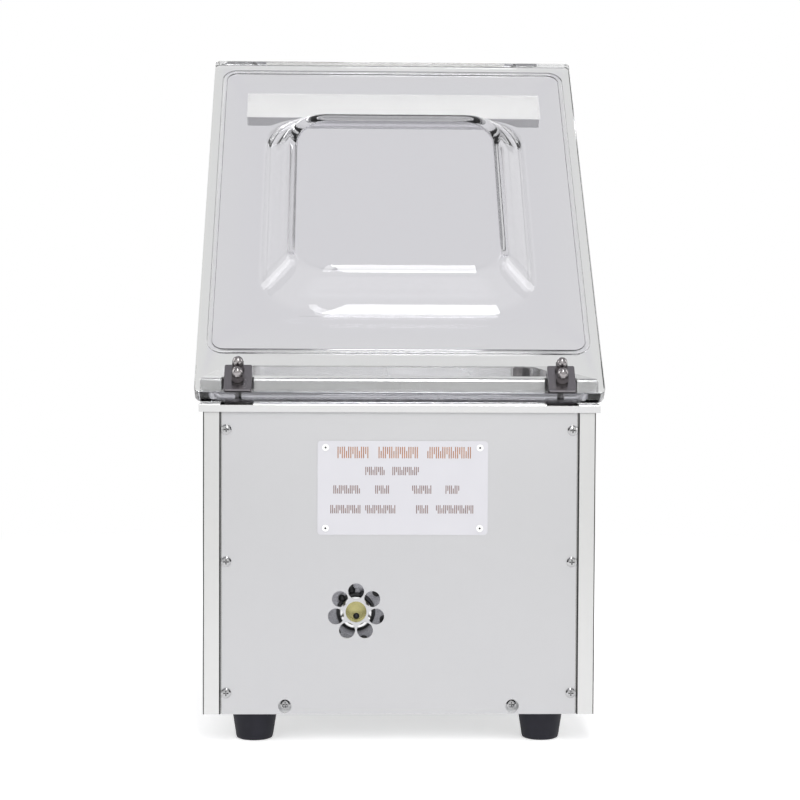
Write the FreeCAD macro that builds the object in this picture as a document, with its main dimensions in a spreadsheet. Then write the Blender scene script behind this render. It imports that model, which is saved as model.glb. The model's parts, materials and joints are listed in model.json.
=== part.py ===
"""Tabletop chamber vacuum packing machine, built as a parametric document.

Millimetres, +Z up, the front faces -Y. The origin is on the floor under the middle of the machine.
The lid stands open at its rest angle. Everything on the lid is drawn in the lid's own frame: its
origin on the hinge axis, +Y to the rear along the slab and +Z out of the slab. Everything on the
control panel is drawn in the panel's frame: X across, +Y up the slope and +Z out of the panel.
"""
import FreeCAD, Part
import math
import os
import Sketcher

DOC = FreeCAD.newDocument("VacuumPackingMachine")
SHEET = DOC.addObject("Spreadsheet::Sheet", "Dimensions")

DIMENSIONS = {
    "case_width": 323.4,
    "rim_width": 330.0,
    "rim_rear": 236.0,
    "rim_overhang": 3.0,
    "front_face": -243.7,
    "deck_front": -197.0,
    "foot_height": 25.0,
    "case_height": 250.0,
    "front_wall_height": 60.0,
    "ledge_rise": 7.5,
    "ledge_depth": 20.0,
    "step_rise": 16.5,
    "metal": 1.5,
    "flange_width": 14.4,
    "seam_gap": 1.3,
    "panel_screw_side": 142.5,
    "vent_x": 35.5,
    "vent_height": 110.0,
    "vent_centre_radius": 8.65,
    "petal_radius": 6.6,
    "petal_orbit": 17.0,
    "nameplate_width": 140.3,
    "nameplate_tall": 77.5,
    "nameplate_x": -2.5,
    "nameplate_height": 212.6,
    "chamber_half_width": 146.0,
    "chamber_front": -178.0,
    "chamber_rear": 163.0,
    "chamber_depth": 53.5,
    "chamber_corner": 20.0,
    "lid_width": 337.5,
    "lid_length": 427.5,
    "lid_thickness": 12.0,
    "lid_gap": 1.0,
    "lid_angle": 45.5,
    "hinge_back": 27.05,
    "hinge_drop": 14.6,
    "lid_heel": 18.0,
    "dome_rise": 30.0,
    "dome_wall": 4.5,
    "dome_foot_inset": 2.0,
    "dome_crown_inset": 4.0,
    "dome_half_width": 124.0,
    "dome_start": 87.5,
    "dome_end": 345.0,
    "crown_half_width": 86.0,
    "crown_start": 121.0,
    "crown_end": 310.0,
    "gasket_side": 159.0,
    "gasket_start": 52.0,
    "gasket_end": 417.0,
    "press_centre": 369.0,
    "press_length": 273.0,
    "press_width": 34.0,
    "press_depth": 10.0,
    "leaf_x": 133.1,
    "leaf_width": 22.5,
    "leaf_length": 27.5,
    "leaf_sheet": 2.5,
    "bracket_sheet": 3.0,
    "shaft_radius": 4.0,
    "bar_length": 252.0,
    "bar_width": 14.0,
    "bar_tall": 22.2,
    "bar_rest": 255.3,
    "foot_x": 120.0,
    "foot_rear": 203.0,
    "foot_front": -205.0,
    "foot_top_radius": 19.0,
    "foot_bottom_radius": 15.5,
    "panel_plate": 2.0,
    "gauge_radius": 31.0,
    "key_radius": 6.3,
    "pump_x": 35.0,
    "pump_height": 108.0,
    "motor_radius": 52.0,
    "fit_gap": 0.4,
}


def fill_sheet():
    """Write the driving dimensions into the sheet, one alias to a row."""
    for row, (alias, value) in enumerate(DIMENSIONS.items(), start=1):
        SHEET.set(f"A{row}", alias)
        SHEET.set(f"B{row}", str(value))
        SHEET.setAlias(f"B{row}", alias)
    DOC.recompute()


class Size:
    """A length worked out from the sheet: its value now, and the expression that gives it."""

    def __init__(self, value, text):
        self.value = float(value)
        self.text = text

    def __add__(self, other):
        other = as_size(other)
        return Size(self.value + other.value, f"({self.text} + {other.text})")

    def __radd__(self, other):
        return as_size(other) + self

    def __sub__(self, other):
        other = as_size(other)
        return Size(self.value - other.value, f"({self.text} - {other.text})")

    def __rsub__(self, other):
        return as_size(other) - self

    def __mul__(self, other):
        other = as_size(other)
        return Size(self.value * other.value, f"({self.text} * {other.text})")

    def __rmul__(self, other):
        return as_size(other) * self

    def __truediv__(self, other):
        other = as_size(other)
        return Size(self.value / other.value, f"({self.text} / {other.text})")

    def __neg__(self):
        return Size(-self.value, f"(0 - {self.text})")


def as_size(number):
    """Give a plain number the same form as a length from the sheet."""
    if isinstance(number, Size):
        return number
    return Size(number, f"({float(number):.6f})")


class Dimensions:
    """Reads a driving dimension by its alias."""

    def __getattr__(self, alias):
        return Size(SHEET.get(alias), f"Dimensions.{alias}")


fill_sheet()
D = Dimensions()

# Levels and planes that several sub-parts share.
CASE_HALF = D.case_width / 2
RIM_HALF = D.rim_width / 2
CASE_REAR = D.rim_rear - D.rim_overhang
CASE_BOTTOM = D.foot_height
RIM_BOTTOM = D.foot_height + D.case_height
LEDGE_TOP = RIM_BOTTOM + D.ledge_rise
DECK_TOP = LEDGE_TOP + D.step_rise
CASE_TOP = RIM_BOTTOM + 5
STEP_REAR = D.rim_rear - D.ledge_depth
TUB_FLOOR = DECK_TOP - D.chamber_depth
FRONT_WALL_TOP = CASE_BOTTOM + D.front_wall_height
SLOPE_TOP_Y = D.deck_front + 2.5
PANEL_REAR = CASE_REAR - 0.8
HINGE_Y = D.rim_rear - D.hinge_back
HINGE_Z = DECK_TOP + D.lid_gap - D.hinge_drop
SLAB_TOP = D.hinge_drop + D.lid_thickness
SLOPE_RISE = RIM_BOTTOM - FRONT_WALL_TOP
SLOPE_RUN = SLOPE_TOP_Y - D.front_face
SLOPE_ANGLE = math.degrees(math.atan2(SLOPE_RISE.value, SLOPE_RUN.value))
X_AXIS = FreeCAD.Vector(1, 0, 0)
Y_AXIS = FreeCAD.Vector(0, 1, 0)
Z_AXIS = FreeCAD.Vector(0, 0, 1)


def place(obj, x=0, y=0, z=0, axis=Z_AXIS, angle=0):
    """Turn an object about an axis, then hold its base point to the sheet."""
    obj.Placement = FreeCAD.Placement(FreeCAD.Vector(), FreeCAD.Rotation(axis, angle))
    for letter, value in zip("xyz", (x, y, z)):
        obj.setExpression(f"Placement.Base.{letter}", as_size(value).text)
    return obj


def on_lid(obj):
    """Stand an object that is drawn in the lid's frame on the open lid."""
    return place(obj, 0, HINGE_Y, HINGE_Z, X_AXIS, -D.lid_angle.value)


def on_panel(obj):
    """Stand an object that is drawn in the control panel's frame on the sloping front."""
    return place(obj, 0, D.front_face, FRONT_WALL_TOP, X_AXIS, SLOPE_ANGLE)


def box(name, x0, x1, y0, y1, z0, z1):
    """A block between two corners."""
    obj = DOC.addObject("Part::Box", name)
    low = [as_size(v) for v in (x0, y0, z0)]
    high = [as_size(v) for v in (x1, y1, z1)]
    for field, start, end in zip(("Length", "Width", "Height"), low, high):
        obj.setExpression(field, (end - start).text)
    return place(obj, *low)


def cylinder(name, radius, x, y, z0, z1):
    """An upright cylinder from z0 to z1."""
    obj = DOC.addObject("Part::Cylinder", name)
    obj.setExpression("Radius", as_size(radius).text)
    obj.setExpression("Height", (as_size(z1) - z0).text)
    return place(obj, x, y, z0)


def cross_cylinder(name, radius, x0, x1, y, z):
    """A cylinder along X from x0 to x1."""
    obj = DOC.addObject("Part::Cylinder", name)
    obj.setExpression("Radius", as_size(radius).text)
    obj.setExpression("Height", (as_size(x1) - x0).text)
    return place(obj, x0, y, z, Y_AXIS, 90)


def long_cylinder(name, radius, x, y0, y1, z):
    """A cylinder along Y from y0 to y1."""
    obj = DOC.addObject("Part::Cylinder", name)
    obj.setExpression("Radius", as_size(radius).text)
    obj.setExpression("Height", (as_size(y1) - y0).text)
    return place(obj, x, y0, z, X_AXIS, -90)


def cut(name, base, *tools):
    """A base with one or more tools taken away."""
    tool = tools[0] if len(tools) == 1 else fuse(name + "_tools", *tools)
    obj = DOC.addObject("Part::Cut", name)
    obj.Base = base
    obj.Tool = tool
    return obj


def fuse(name, *parts):
    """Several shapes joined into one."""
    obj = DOC.addObject("Part::MultiFuse", name)
    obj.Shapes = list(parts)
    obj.Refine = True
    return obj


def group(name, *parts):
    """Several separate solids kept in one node."""
    obj = DOC.addObject("Part::Compound", name)
    obj.Links = list(parts)
    return obj


def repeat(name, master, places, axis=Z_AXIS, angle=0):
    """One node with a copy of the master at each place, all turned the same way."""
    links = []
    for number, (x, y, z) in enumerate(places, start=1):
        link = DOC.addObject("App::Link", f"{name}_copy{number}")
        link.LinkedObject = master
        links.append(place(link, x, y, z, axis, angle))
    return group(name, *links)


def hold(sketch, first, value, direction):
    """Hold a sketch point at a distance from the origin along one direction."""
    value = as_size(value)
    index, corner = first
    if abs(value.value) < 1e-9:
        line = -2 if direction == "DistanceX" else -1
        sketch.addConstraint(Sketcher.Constraint("PointOnObject", index, corner, line))
        return
    if value.value > 0:
        number = sketch.addConstraint(Sketcher.Constraint(direction, -1, 1, index, corner, value.value))
        sketch.setExpression(f"Constraints[{number}]", value.text)
    else:
        number = sketch.addConstraint(Sketcher.Constraint(direction, index, corner, -1, 1, -value.value))
        sketch.setExpression(f"Constraints[{number}]", (-value).text)


def draw_polygon(sketch, points):
    """Draw a closed polygon, with every corner held to the sheet."""
    points = [(as_size(x), as_size(y)) for x, y in points]
    start = sketch.GeometryCount
    count = len(points)
    for number, (x, y) in enumerate(points):
        next_x, next_y = points[(number + 1) % count]
        ends = FreeCAD.Vector(x.value, y.value, 0), FreeCAD.Vector(next_x.value, next_y.value, 0)
        sketch.addGeometry(Part.LineSegment(*ends), False)
    for number, (x, y) in enumerate(points):
        follower = start + (number + 1) % count
        sketch.addConstraint(Sketcher.Constraint("Coincident", start + number, 2, follower, 1))
        hold(sketch, (start + number, 1), x, "DistanceX")
        hold(sketch, (start + number, 1), y, "DistanceY")


def draw_circle(sketch, x, y, radius):
    """Draw a circle, with its centre and radius held to the sheet."""
    x, y, radius = as_size(x), as_size(y), as_size(radius)
    circle = Part.Circle(FreeCAD.Vector(x.value, y.value, 0), Z_AXIS, radius.value)
    index = sketch.addGeometry(circle, False)
    number = sketch.addConstraint(Sketcher.Constraint("Radius", index, radius.value))
    sketch.setExpression(f"Constraints[{number}]", radius.text)
    hold(sketch, (index, 3), x, "DistanceX")
    hold(sketch, (index, 3), y, "DistanceY")


def draw_rounded(sketch, x0, x1, y0, y1, radius):
    """Draw a rectangle with four equal round corners."""
    x0, x1, y0, y1, radius = [as_size(v) for v in (x0, x1, y0, y1, radius)]
    r = radius.value
    corners = [(x1.value - r, y0.value + r, -90), (x1.value - r, y1.value - r, 0),
               (x0.value + r, y1.value - r, 90), (x0.value + r, y0.value + r, 180)]
    start = sketch.GeometryCount
    for x, y, turn in corners:
        circle = Part.Circle(FreeCAD.Vector(x, y, 0), Z_AXIS, r)
        sketch.addGeometry(Part.ArcOfCircle(circle, math.radians(turn), math.radians(turn + 90)), False)
    for number in range(4):
        x, y, turn = corners[number]
        next_x, next_y, next_turn = corners[(number + 1) % 4]
        end = FreeCAD.Vector(x + r * math.cos(math.radians(turn + 90)),
                             y + r * math.sin(math.radians(turn + 90)), 0)
        begin = FreeCAD.Vector(next_x + r * math.cos(math.radians(next_turn)),
                               next_y + r * math.sin(math.radians(next_turn)), 0)
        sketch.addGeometry(Part.LineSegment(end, begin), False)
    for number in range(4):
        arc, line, next_arc = start + number, start + 4 + number, start + (number + 1) % 4
        sketch.addConstraint(Sketcher.Constraint("Tangent", arc, 2, line, 1))
        sketch.addConstraint(Sketcher.Constraint("Tangent", line, 2, next_arc, 1))
        if number:
            sketch.addConstraint(Sketcher.Constraint("Equal", start, arc))
    number = sketch.addConstraint(Sketcher.Constraint("Radius", start, r))
    sketch.setExpression(f"Constraints[{number}]", radius.text)
    for line, way in ((4, "Vertical"), (5, "Horizontal"), (6, "Vertical"), (7, "Horizontal")):
        sketch.addConstraint(Sketcher.Constraint(way, start + line))
    hold(sketch, (start + 4, 1), x1, "DistanceX")
    hold(sketch, (start + 5, 1), y1, "DistanceY")
    hold(sketch, (start + 6, 1), x0, "DistanceX")
    hold(sketch, (start + 7, 1), y0, "DistanceY")


class Piece:
    """A PartDesign body, and the sketches and features that it is made from."""

    def __init__(self, label):
        self.body = DOC.addObject("PartDesign::Body", label)
        self.body.Label = label

    def sketch(self, role, offset=0):
        """A new sketch on one of the body's own origin planes, lifted off it by an offset."""
        sketch = self.body.newObject("Sketcher::SketchObject", self.body.Name + "_sketch")
        plane = next(f for f in self.body.Origin.OriginFeatures if f.Role == role)
        sketch.AttachmentSupport = [(plane, "")]
        sketch.MapMode = "FlatFace"
        sketch.setExpression("AttachmentOffset.Base.z", as_size(offset).text)
        return sketch

    def pad(self, sketch, length, middle=False):
        """Add the sketch's outline as a solid, along its normal or to both sides."""
        feature = self.body.newObject("PartDesign::Pad", self.body.Name + "_pad")
        feature.Profile = sketch
        feature.setExpression("Length", as_size(length).text)
        if middle:
            feature.SideType = "Symmetric"
        return self.finish(feature, 1)

    def pocket(self, sketch, depth, reverse=False, middle=False):
        """Take the sketch's outline away, against its normal, along it or to both sides."""
        feature = self.body.newObject("PartDesign::Pocket", self.body.Name + "_pocket")
        feature.Profile = sketch
        feature.Reversed = reverse
        feature.setExpression("Length", as_size(depth).text)
        if middle:
            feature.SideType = "Symmetric"
        return self.finish(feature, -1)

    def turn(self, sketch, cutting=False):
        """Turn the sketch's outline about the body's Z axis."""
        kind = "PartDesign::Groove" if cutting else "PartDesign::Revolution"
        feature = self.body.newObject(kind, self.body.Name + "_turned")
        feature.Profile = sketch
        feature.ReferenceAxis = (sketch, ["V_Axis"])
        return self.finish(feature, -1 if cutting else 1)

    def loft(self, low, high, cutting=False):
        """Blend two outlines into a solid, or into a hollow."""
        kind = "PartDesign::SubtractiveLoft" if cutting else "PartDesign::AdditiveLoft"
        feature = self.body.newObject(kind, self.body.Name + "_loft")
        feature.Profile = low
        feature.Sections = [high]
        feature.Ruled = True
        return self.finish(feature, -1 if cutting else 1)

    def round_edges(self, radius, test):
        """Round every edge that the test picks."""
        return self.dress("PartDesign::Fillet", "Radius", radius, test)

    def bevel_edges(self, width, test):
        """Bevel every edge that the test picks."""
        return self.dress("PartDesign::Chamfer", "Size", width, test)

    def dress(self, kind, field, value, test):
        """Add a fillet or chamfer on the picked edges."""
        tip = self.body.Tip
        names = [f"Edge{n}" for n, edge in enumerate(tip.Shape.Edges, start=1) if test(edge)]
        if not names:
            raise RuntimeError(f"{self.body.Label}: no edge to dress")
        feature = self.body.newObject(kind, self.body.Name + "_dress")
        feature.Base = (tip, names)
        feature.setExpression(field, as_size(value).text)
        return self.finish(feature, 0)

    def finish(self, feature, sign):
        """Recompute, and make sure that the feature added or removed material as meant."""
        before = feature.BaseFeature.Shape.Volume if feature.BaseFeature else 0.0
        DOC.recompute()
        change = feature.Shape.Volume - before
        if feature.Shape.isNull() or sign * change < 0 or (sign and abs(change) < 1e-6):
            raise RuntimeError(f"{self.body.Label}: {feature.Name} changed the volume by {change}")
        return feature


def plate(label, x0, x1, y0, y1, z0, z1, radius):
    """An upright block with four round vertical corners."""
    piece = Piece(label)
    sketch = piece.sketch("XY_Plane", z0)
    draw_rounded(sketch, x0, x1, y0, y1, radius)
    piece.pad(sketch, as_size(z1) - z0)
    return piece


def turned(label, points):
    """A solid of revolution about Z, from its half outline of (radius, height) corners."""
    piece = Piece(label)
    sketch = piece.sketch("XZ_Plane")
    draw_polygon(sketch, points)
    piece.turn(sketch)
    return piece


def is_flat_at(edge, level):
    """Whether an edge lies wholly at one height."""
    return abs(edge.BoundBox.ZMin - level) < 1e-4 and abs(edge.BoundBox.ZMax - level) < 1e-4


# ---------------------------------------------------------------- casing

def make_deck():
    """The top pan: a deck round the chamber, a step down at the rear, skirts, and hinge slots."""
    piece = Piece("chamber_deck")
    outline = piece.sketch("YZ_Plane")
    draw_polygon(outline, [(D.deck_front, RIM_BOTTOM), (D.rim_rear, RIM_BOTTOM), (D.rim_rear, LEDGE_TOP),
                           (STEP_REAR, LEDGE_TOP), (STEP_REAR, DECK_TOP), (D.deck_front, DECK_TOP)])
    piece.pad(outline, D.rim_width, middle=True)
    bend = D.metal * 2
    level = DECK_TOP.value
    piece.round_edges(bend, lambda e: is_flat_at(e, level))
    ledge = LEDGE_TOP.value
    rear = D.rim_rear.value
    piece.round_edges(D.metal * 1.3, lambda e: is_flat_at(e, ledge) and (e.BoundBox.YMax > rear - 1e-4)
                      and e.BoundBox.YLength < 1e-4 or is_flat_at(e, ledge) and e.BoundBox.XLength < 1e-4)
    inside = piece.sketch("YZ_Plane")
    low = RIM_BOTTOM - 1
    draw_polygon(inside, [(D.deck_front + D.metal, low), (D.rim_rear - D.metal, low),
                          (D.rim_rear - D.metal, LEDGE_TOP - D.metal), (STEP_REAR - D.metal, LEDGE_TOP - D.metal),
                          (STEP_REAR - D.metal, DECK_TOP - D.metal), (D.deck_front + D.metal, DECK_TOP - D.metal)])
    piece.pocket(inside, D.rim_width - D.metal * 2, middle=True)
    opening = piece.sketch("XY_Plane", DECK_TOP)
    draw_rounded(opening, -D.chamber_half_width, D.chamber_half_width, D.chamber_front, D.chamber_rear,
                 D.chamber_corner)
    piece.pocket(opening, D.metal * 2)
    for side in (-1, 1):
        slot = piece.sketch("XY_Plane", DECK_TOP)
        middle = D.leaf_x * side + side * 0.7
        left, right = middle - SLOT_HALF, middle + SLOT_HALF
        draw_rounded(slot, left, right, STEP_REAR - SLOT_REACH, D.rim_rear - D.metal, D.metal)
        piece.pocket(slot, DECK_TOP - RIM_BOTTOM)
        notch = piece.sketch("XY_Plane", LEDGE_TOP)
        start, end = D.rim_rear - D.metal * 4, D.rim_rear + D.metal
        draw_polygon(notch, [(left, start), (right, start), (right, end), (left, end)])
        piece.pocket(notch, NOTCH_DEPTH)


SLOT_HALF = 13.5
SLOT_REACH = 21.0
NOTCH_DEPTH = 1.8


def make_tub():
    """The vacuum chamber: a deep drawn tub with a suction port, welded under the deck."""
    wall = D.metal
    sides = D.chamber_half_width + wall
    rim = DECK_TOP - wall
    piece = plate("chamber_tub", -sides, sides, D.chamber_front - wall, D.chamber_rear + wall,
                  TUB_FLOOR - wall, rim, D.chamber_corner + wall)
    hollow = piece.sketch("XY_Plane", rim)
    draw_rounded(hollow, -D.chamber_half_width, D.chamber_half_width, D.chamber_front, D.chamber_rear,
                 D.chamber_corner)
    piece.pocket(hollow, rim - TUB_FLOOR)
    floor = TUB_FLOOR.value
    piece.round_edges(3.5, lambda e: is_flat_at(e, floor))
    bottom = (TUB_FLOOR - wall).value
    piece.round_edges(5, lambda e: is_flat_at(e, bottom))
    port = piece.sketch("XY_Plane", TUB_FLOOR + 1)
    draw_circle(port, SUCTION_X, SUCTION_Y, 8)
    piece.pocket(port, wall + 2)


SUCTION_X = -60
SUCTION_Y = 142


def make_side(label, side):
    """A side sheet with its rear flange, which steps in behind the rear panel."""
    piece = Piece(label)
    inner = CASE_HALF - D.metal
    outline = piece.sketch("YZ_Plane", inner if side > 0 else -CASE_HALF)
    top_y = SLOPE_TOP_Y + (CASE_TOP - RIM_BOTTOM) * (1 / math.tan(math.radians(SLOPE_ANGLE)))
    draw_polygon(outline, [(D.front_face, CASE_BOTTOM), (CASE_REAR, CASE_BOTTOM), (CASE_REAR, CASE_TOP),
                           (top_y, CASE_TOP), (D.front_face, FRONT_WALL_TOP)])
    if side < 0:
        draw_rounded(outline, INLET_Y - 14, INLET_Y + 14, INLET_Z - 10.5, INLET_Z + 10.5, D.fit_gap)
        draw_circle(outline, FUSE_Y, INLET_Z, FUSE_HOLE)
    piece.pad(outline, D.metal)
    flange = piece.sketch("XY_Plane", CASE_BOTTOM)
    face = CASE_HALF - D.flange_width
    lip = face - LIP_WIDTH
    step = D.metal + PANEL_SLACK
    corners = [(inner - 0.5, CASE_REAR - 6), (CASE_HALF, CASE_REAR - 6), (CASE_HALF, CASE_REAR), (face, CASE_REAR),
               (face, CASE_REAR - step), (lip, CASE_REAR - step), (lip, CASE_REAR - step - D.metal),
               (face + D.metal, CASE_REAR - step - D.metal), (face + D.metal, CASE_REAR - D.metal),
               (inner - 0.5, CASE_REAR - D.metal)]
    draw_polygon(flange, [(x * side, y) for x, y in corners])
    piece.pad(flange, CASE_TOP - CASE_BOTTOM)
    turned_edges = (CASE_HALF.value, face.value)
    rear = CASE_REAR.value
    piece.round_edges(SIDE_BEND, lambda e: e.BoundBox.XLength < 1e-4 and e.BoundBox.YLength < 1e-4
                      and abs(e.BoundBox.YMin - rear) < 1e-4
                      and min(abs(abs(e.BoundBox.XMin) - x) for x in turned_edges) < 1e-4)
    holes = piece.sketch("XZ_Plane", -(CASE_REAR - 6))
    for height in SCREW_HEIGHTS:
        draw_circle(holes, D.panel_screw_side * side, CASE_BOTTOM + height, SCREW_HOLE)
    piece.pocket(holes, 8)


SIDE_BEND = 1.4
LIP_WIDTH = 11.3
PANEL_SLACK = 0.8
SCREW_HOLE = 2.0
FUSE_HOLE = 6.6
SCREW_HEIGHTS = (17.7, 126.5, 235.5)
INLET_Y = 196
INLET_Z = 62
FUSE_Y = 168


def make_rear_panel():
    """The flat rear panel, with a flower-shaped vent, two access holes and six screw holes."""
    piece = Piece("rear_panel")
    outline = piece.sketch("XZ_Plane", -PANEL_REAR)
    side = CASE_HALF - D.flange_width - D.seam_gap
    draw_polygon(outline, [(-side, CASE_BOTTOM), (side, CASE_BOTTOM), (side, CASE_TOP - 0.5),
                           (-side, CASE_TOP - 0.5)])
    draw_circle(outline, D.vent_x, D.vent_height, D.vent_centre_radius)
    for petal in range(7):
        turn = math.radians(90 + petal * 360 / 7)
        draw_circle(outline, D.vent_x + D.petal_orbit * math.cos(turn),
                    D.vent_height + D.petal_orbit * math.sin(turn), D.petal_radius)
    for x in (-ACCESS_X, ACCESS_X):
        draw_circle(outline, x, CASE_BOTTOM + ACCESS_RISE, ACCESS_RADIUS)
    for x in (-D.panel_screw_side, D.panel_screw_side):
        for height in SCREW_HEIGHTS:
            draw_circle(outline, x, CASE_BOTTOM + height, SCREW_HOLE)
    piece.pad(outline, D.metal)


ACCESS_X = 94
ACCESS_RADIUS = 5.5
ACCESS_RISE = 6.7


def make_front_panel():
    """The front sheet: a short upright wall, then a slope with a window for the controls."""
    piece = Piece("front_panel")
    outline = piece.sketch("YZ_Plane")
    lean = 1 / math.tan(math.radians(SLOPE_ANGLE))
    extra = CASE_TOP - RIM_BOTTOM
    inset = D.metal / math.sin(math.radians(SLOPE_ANGLE))
    knee = D.metal * math.tan(math.radians((90 - SLOPE_ANGLE) / 2))
    draw_polygon(outline, [(D.front_face, CASE_BOTTOM), (D.front_face, FRONT_WALL_TOP),
                           (SLOPE_TOP_Y + extra * lean, CASE_TOP), (SLOPE_TOP_Y + extra * lean + inset, CASE_TOP),
                           (D.front_face + D.metal, FRONT_WALL_TOP - knee), (D.front_face + D.metal, CASE_BOTTOM)])
    piece.pad(outline, D.case_width - D.metal * 2, middle=True)
    window = piece.sketch("XZ_Plane", -(D.front_face - 5))
    draw_rounded(window, -WINDOW_HALF, WINDOW_HALF, FRONT_WALL_TOP + 32, RIM_BOTTOM - 34, 6)
    piece.pocket(window, 80)


WINDOW_HALF = 130


def make_base_tray():
    """The base sheet with an upturn behind each of the rear and front panels."""
    piece = Piece("base_tray")
    outline = piece.sketch("YZ_Plane")
    rear = PANEL_REAR - TRAY_STAND_OFF
    front = D.front_face + 4
    top = CASE_BOTTOM + TRAY_UPTURN
    draw_polygon(outline, [(front, CASE_BOTTOM), (rear, CASE_BOTTOM), (rear, top), (rear - D.metal, top),
                           (rear - D.metal, CASE_BOTTOM + D.metal), (front + D.metal, CASE_BOTTOM + D.metal),
                           (front + D.metal, top), (front, top)])
    piece.pad(outline, (CASE_HALF - D.metal * 2) * 2, middle=True)
    openings = piece.sketch("XY_Plane", CASE_BOTTOM + D.metal)
    for row in range(LOUVRES):
        y = LOUVRE_START + row * LOUVRE_PITCH
        draw_rounded(openings, D.pump_x - 30, D.pump_x + 30, y, y + 5, 2.4)
    for x in (-D.foot_x, D.foot_x):
        for y in (D.foot_rear, D.foot_front):
            draw_circle(openings, x, y, 2.6)
    piece.pocket(openings, D.metal)
    holes = piece.sketch("XZ_Plane", -(rear - D.metal - 1))
    for x in (-ACCESS_X, ACCESS_X):
        draw_circle(holes, x, CASE_BOTTOM + ACCESS_RISE, SCREW_HOLE)
    piece.pocket(holes, 4)


TRAY_STAND_OFF = 9.2
TRAY_UPTURN = 20
LOUVRES = 7
LOUVRE_START = -120
LOUVRE_PITCH = 12


def make_rails():
    """Two stiff bars under the deck's edges, which carry the load of the vacuum."""
    bars = []
    for side in (-1, 1):
        inner = (CASE_HALF - D.metal - RAIL_WIDTH) * side
        outer = (CASE_HALF - D.metal) * side
        low, high = (inner, outer) if side > 0 else (outer, inner)
        bars.append(box(f"rail{side + 2}", low, high, -RAIL_HALF, RAIL_HALF,
                        CASE_TOP - 24, DECK_TOP - D.metal))
    return bars


RAIL_WIDTH = 8.5
RAIL_HALF = 188


def pan_screw(name, head_radius, head_height, shank_radius, shank_length):
    """A pan-head screw along +Z with a cross recess, its seat at z = 0."""
    crown = head_height * 0.45
    head = turned(name + "_head", [(0, -shank_length), (shank_radius, -shank_length), (shank_radius, 0),
                                   (head_radius, 0), (head_radius, crown), (head_radius * 0.72, head_height * 0.86),
                                   (head_radius * 0.3, head_height), (0, head_height)])
    arm = head_radius * 0.52
    slot = head_radius * 0.11
    depth = head_height * 0.45
    first = box(name + "_slot_a", -arm, arm, -slot, slot, depth, head_height + 1)
    second = box(name + "_slot_b", -slot, slot, -arm, arm, depth, head_height + 1)
    return cut(name, head.body, first, second)


def make_screws():
    """Rear panel screws, the screws in the access holes, and the screws that hold the feet."""
    master = pan_screw("panel_screw", 4.2, 2.4, 1.95, 8)
    places = [(x, PANEL_REAR, CASE_BOTTOM + height) for x in (-D.panel_screw_side, D.panel_screw_side)
              for height in SCREW_HEIGHTS]
    panel_set = repeat("panel_screw_set", master, places, X_AXIS, -90)
    deep = pan_screw("tray_screw", 4.0, 2.3, 1.9, 3)
    places = [(x, PANEL_REAR - TRAY_STAND_OFF, CASE_BOTTOM + ACCESS_RISE) for x in (-ACCESS_X, ACCESS_X)]
    tray_set = repeat("tray_screw_set", deep, places, X_AXIS, -90)
    top = D.foot_height + 9
    bolt = turned("foot_screw", [(0, 5.5), (4.8, 5.5), (4.8, 9), (2.45, 9), (2.45, top), (0, top)])
    group("case_screws", panel_set, tray_set, repeat("foot_screw_set", bolt.body, foot_places()))


def make_nameplate():
    """The rating plate on the rear panel, and its four washers with small centre pins."""
    half = D.nameplate_width / 2
    tall = D.nameplate_tall / 2
    piece = plate("nameplate", -half, half, -tall, tall, 0, NAMEPLATE_SHEET, 3)
    place(piece.body, D.nameplate_x, PANEL_REAR, D.nameplate_height, X_AXIS, -90)
    washer = turned("fixing", [(0, 0), (2.85, 0), (2.85, 0.7), (0.8, 0.9), (0.8, 0.5), (0, 0.5)])
    across, up = half - 6.6, tall - 5.5
    face = PANEL_REAR + NAMEPLATE_SHEET
    places = [(D.nameplate_x + x, face, D.nameplate_height + z) for x in (-across, across) for z in (-up, up)]
    repeat("nameplate_fixings", washer.body, places, X_AXIS, -90)


NAMEPLATE_SHEET = 0.8


def foot_places():
    """The four places on the floor where a foot stands."""
    return [(x, y, 0) for x in (-D.foot_x, D.foot_x) for y in (D.foot_front, D.foot_rear)]


def make_feet():
    """Four tapered rubber feet with rounded rims and a recess for the screw."""
    low = D.foot_bottom_radius
    top = D.foot_height
    foot = turned("foot", [(6, 0), (low - 2.5, 0), (low - 0.7, 0.8), (low, 2.6),
                           (D.foot_top_radius, top), (2.6, top),
                           (2.6, 9), (6, 9)])
    repeat("feet", foot.body, foot_places())


# ---------------------------------------------------------------- chamber

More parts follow.
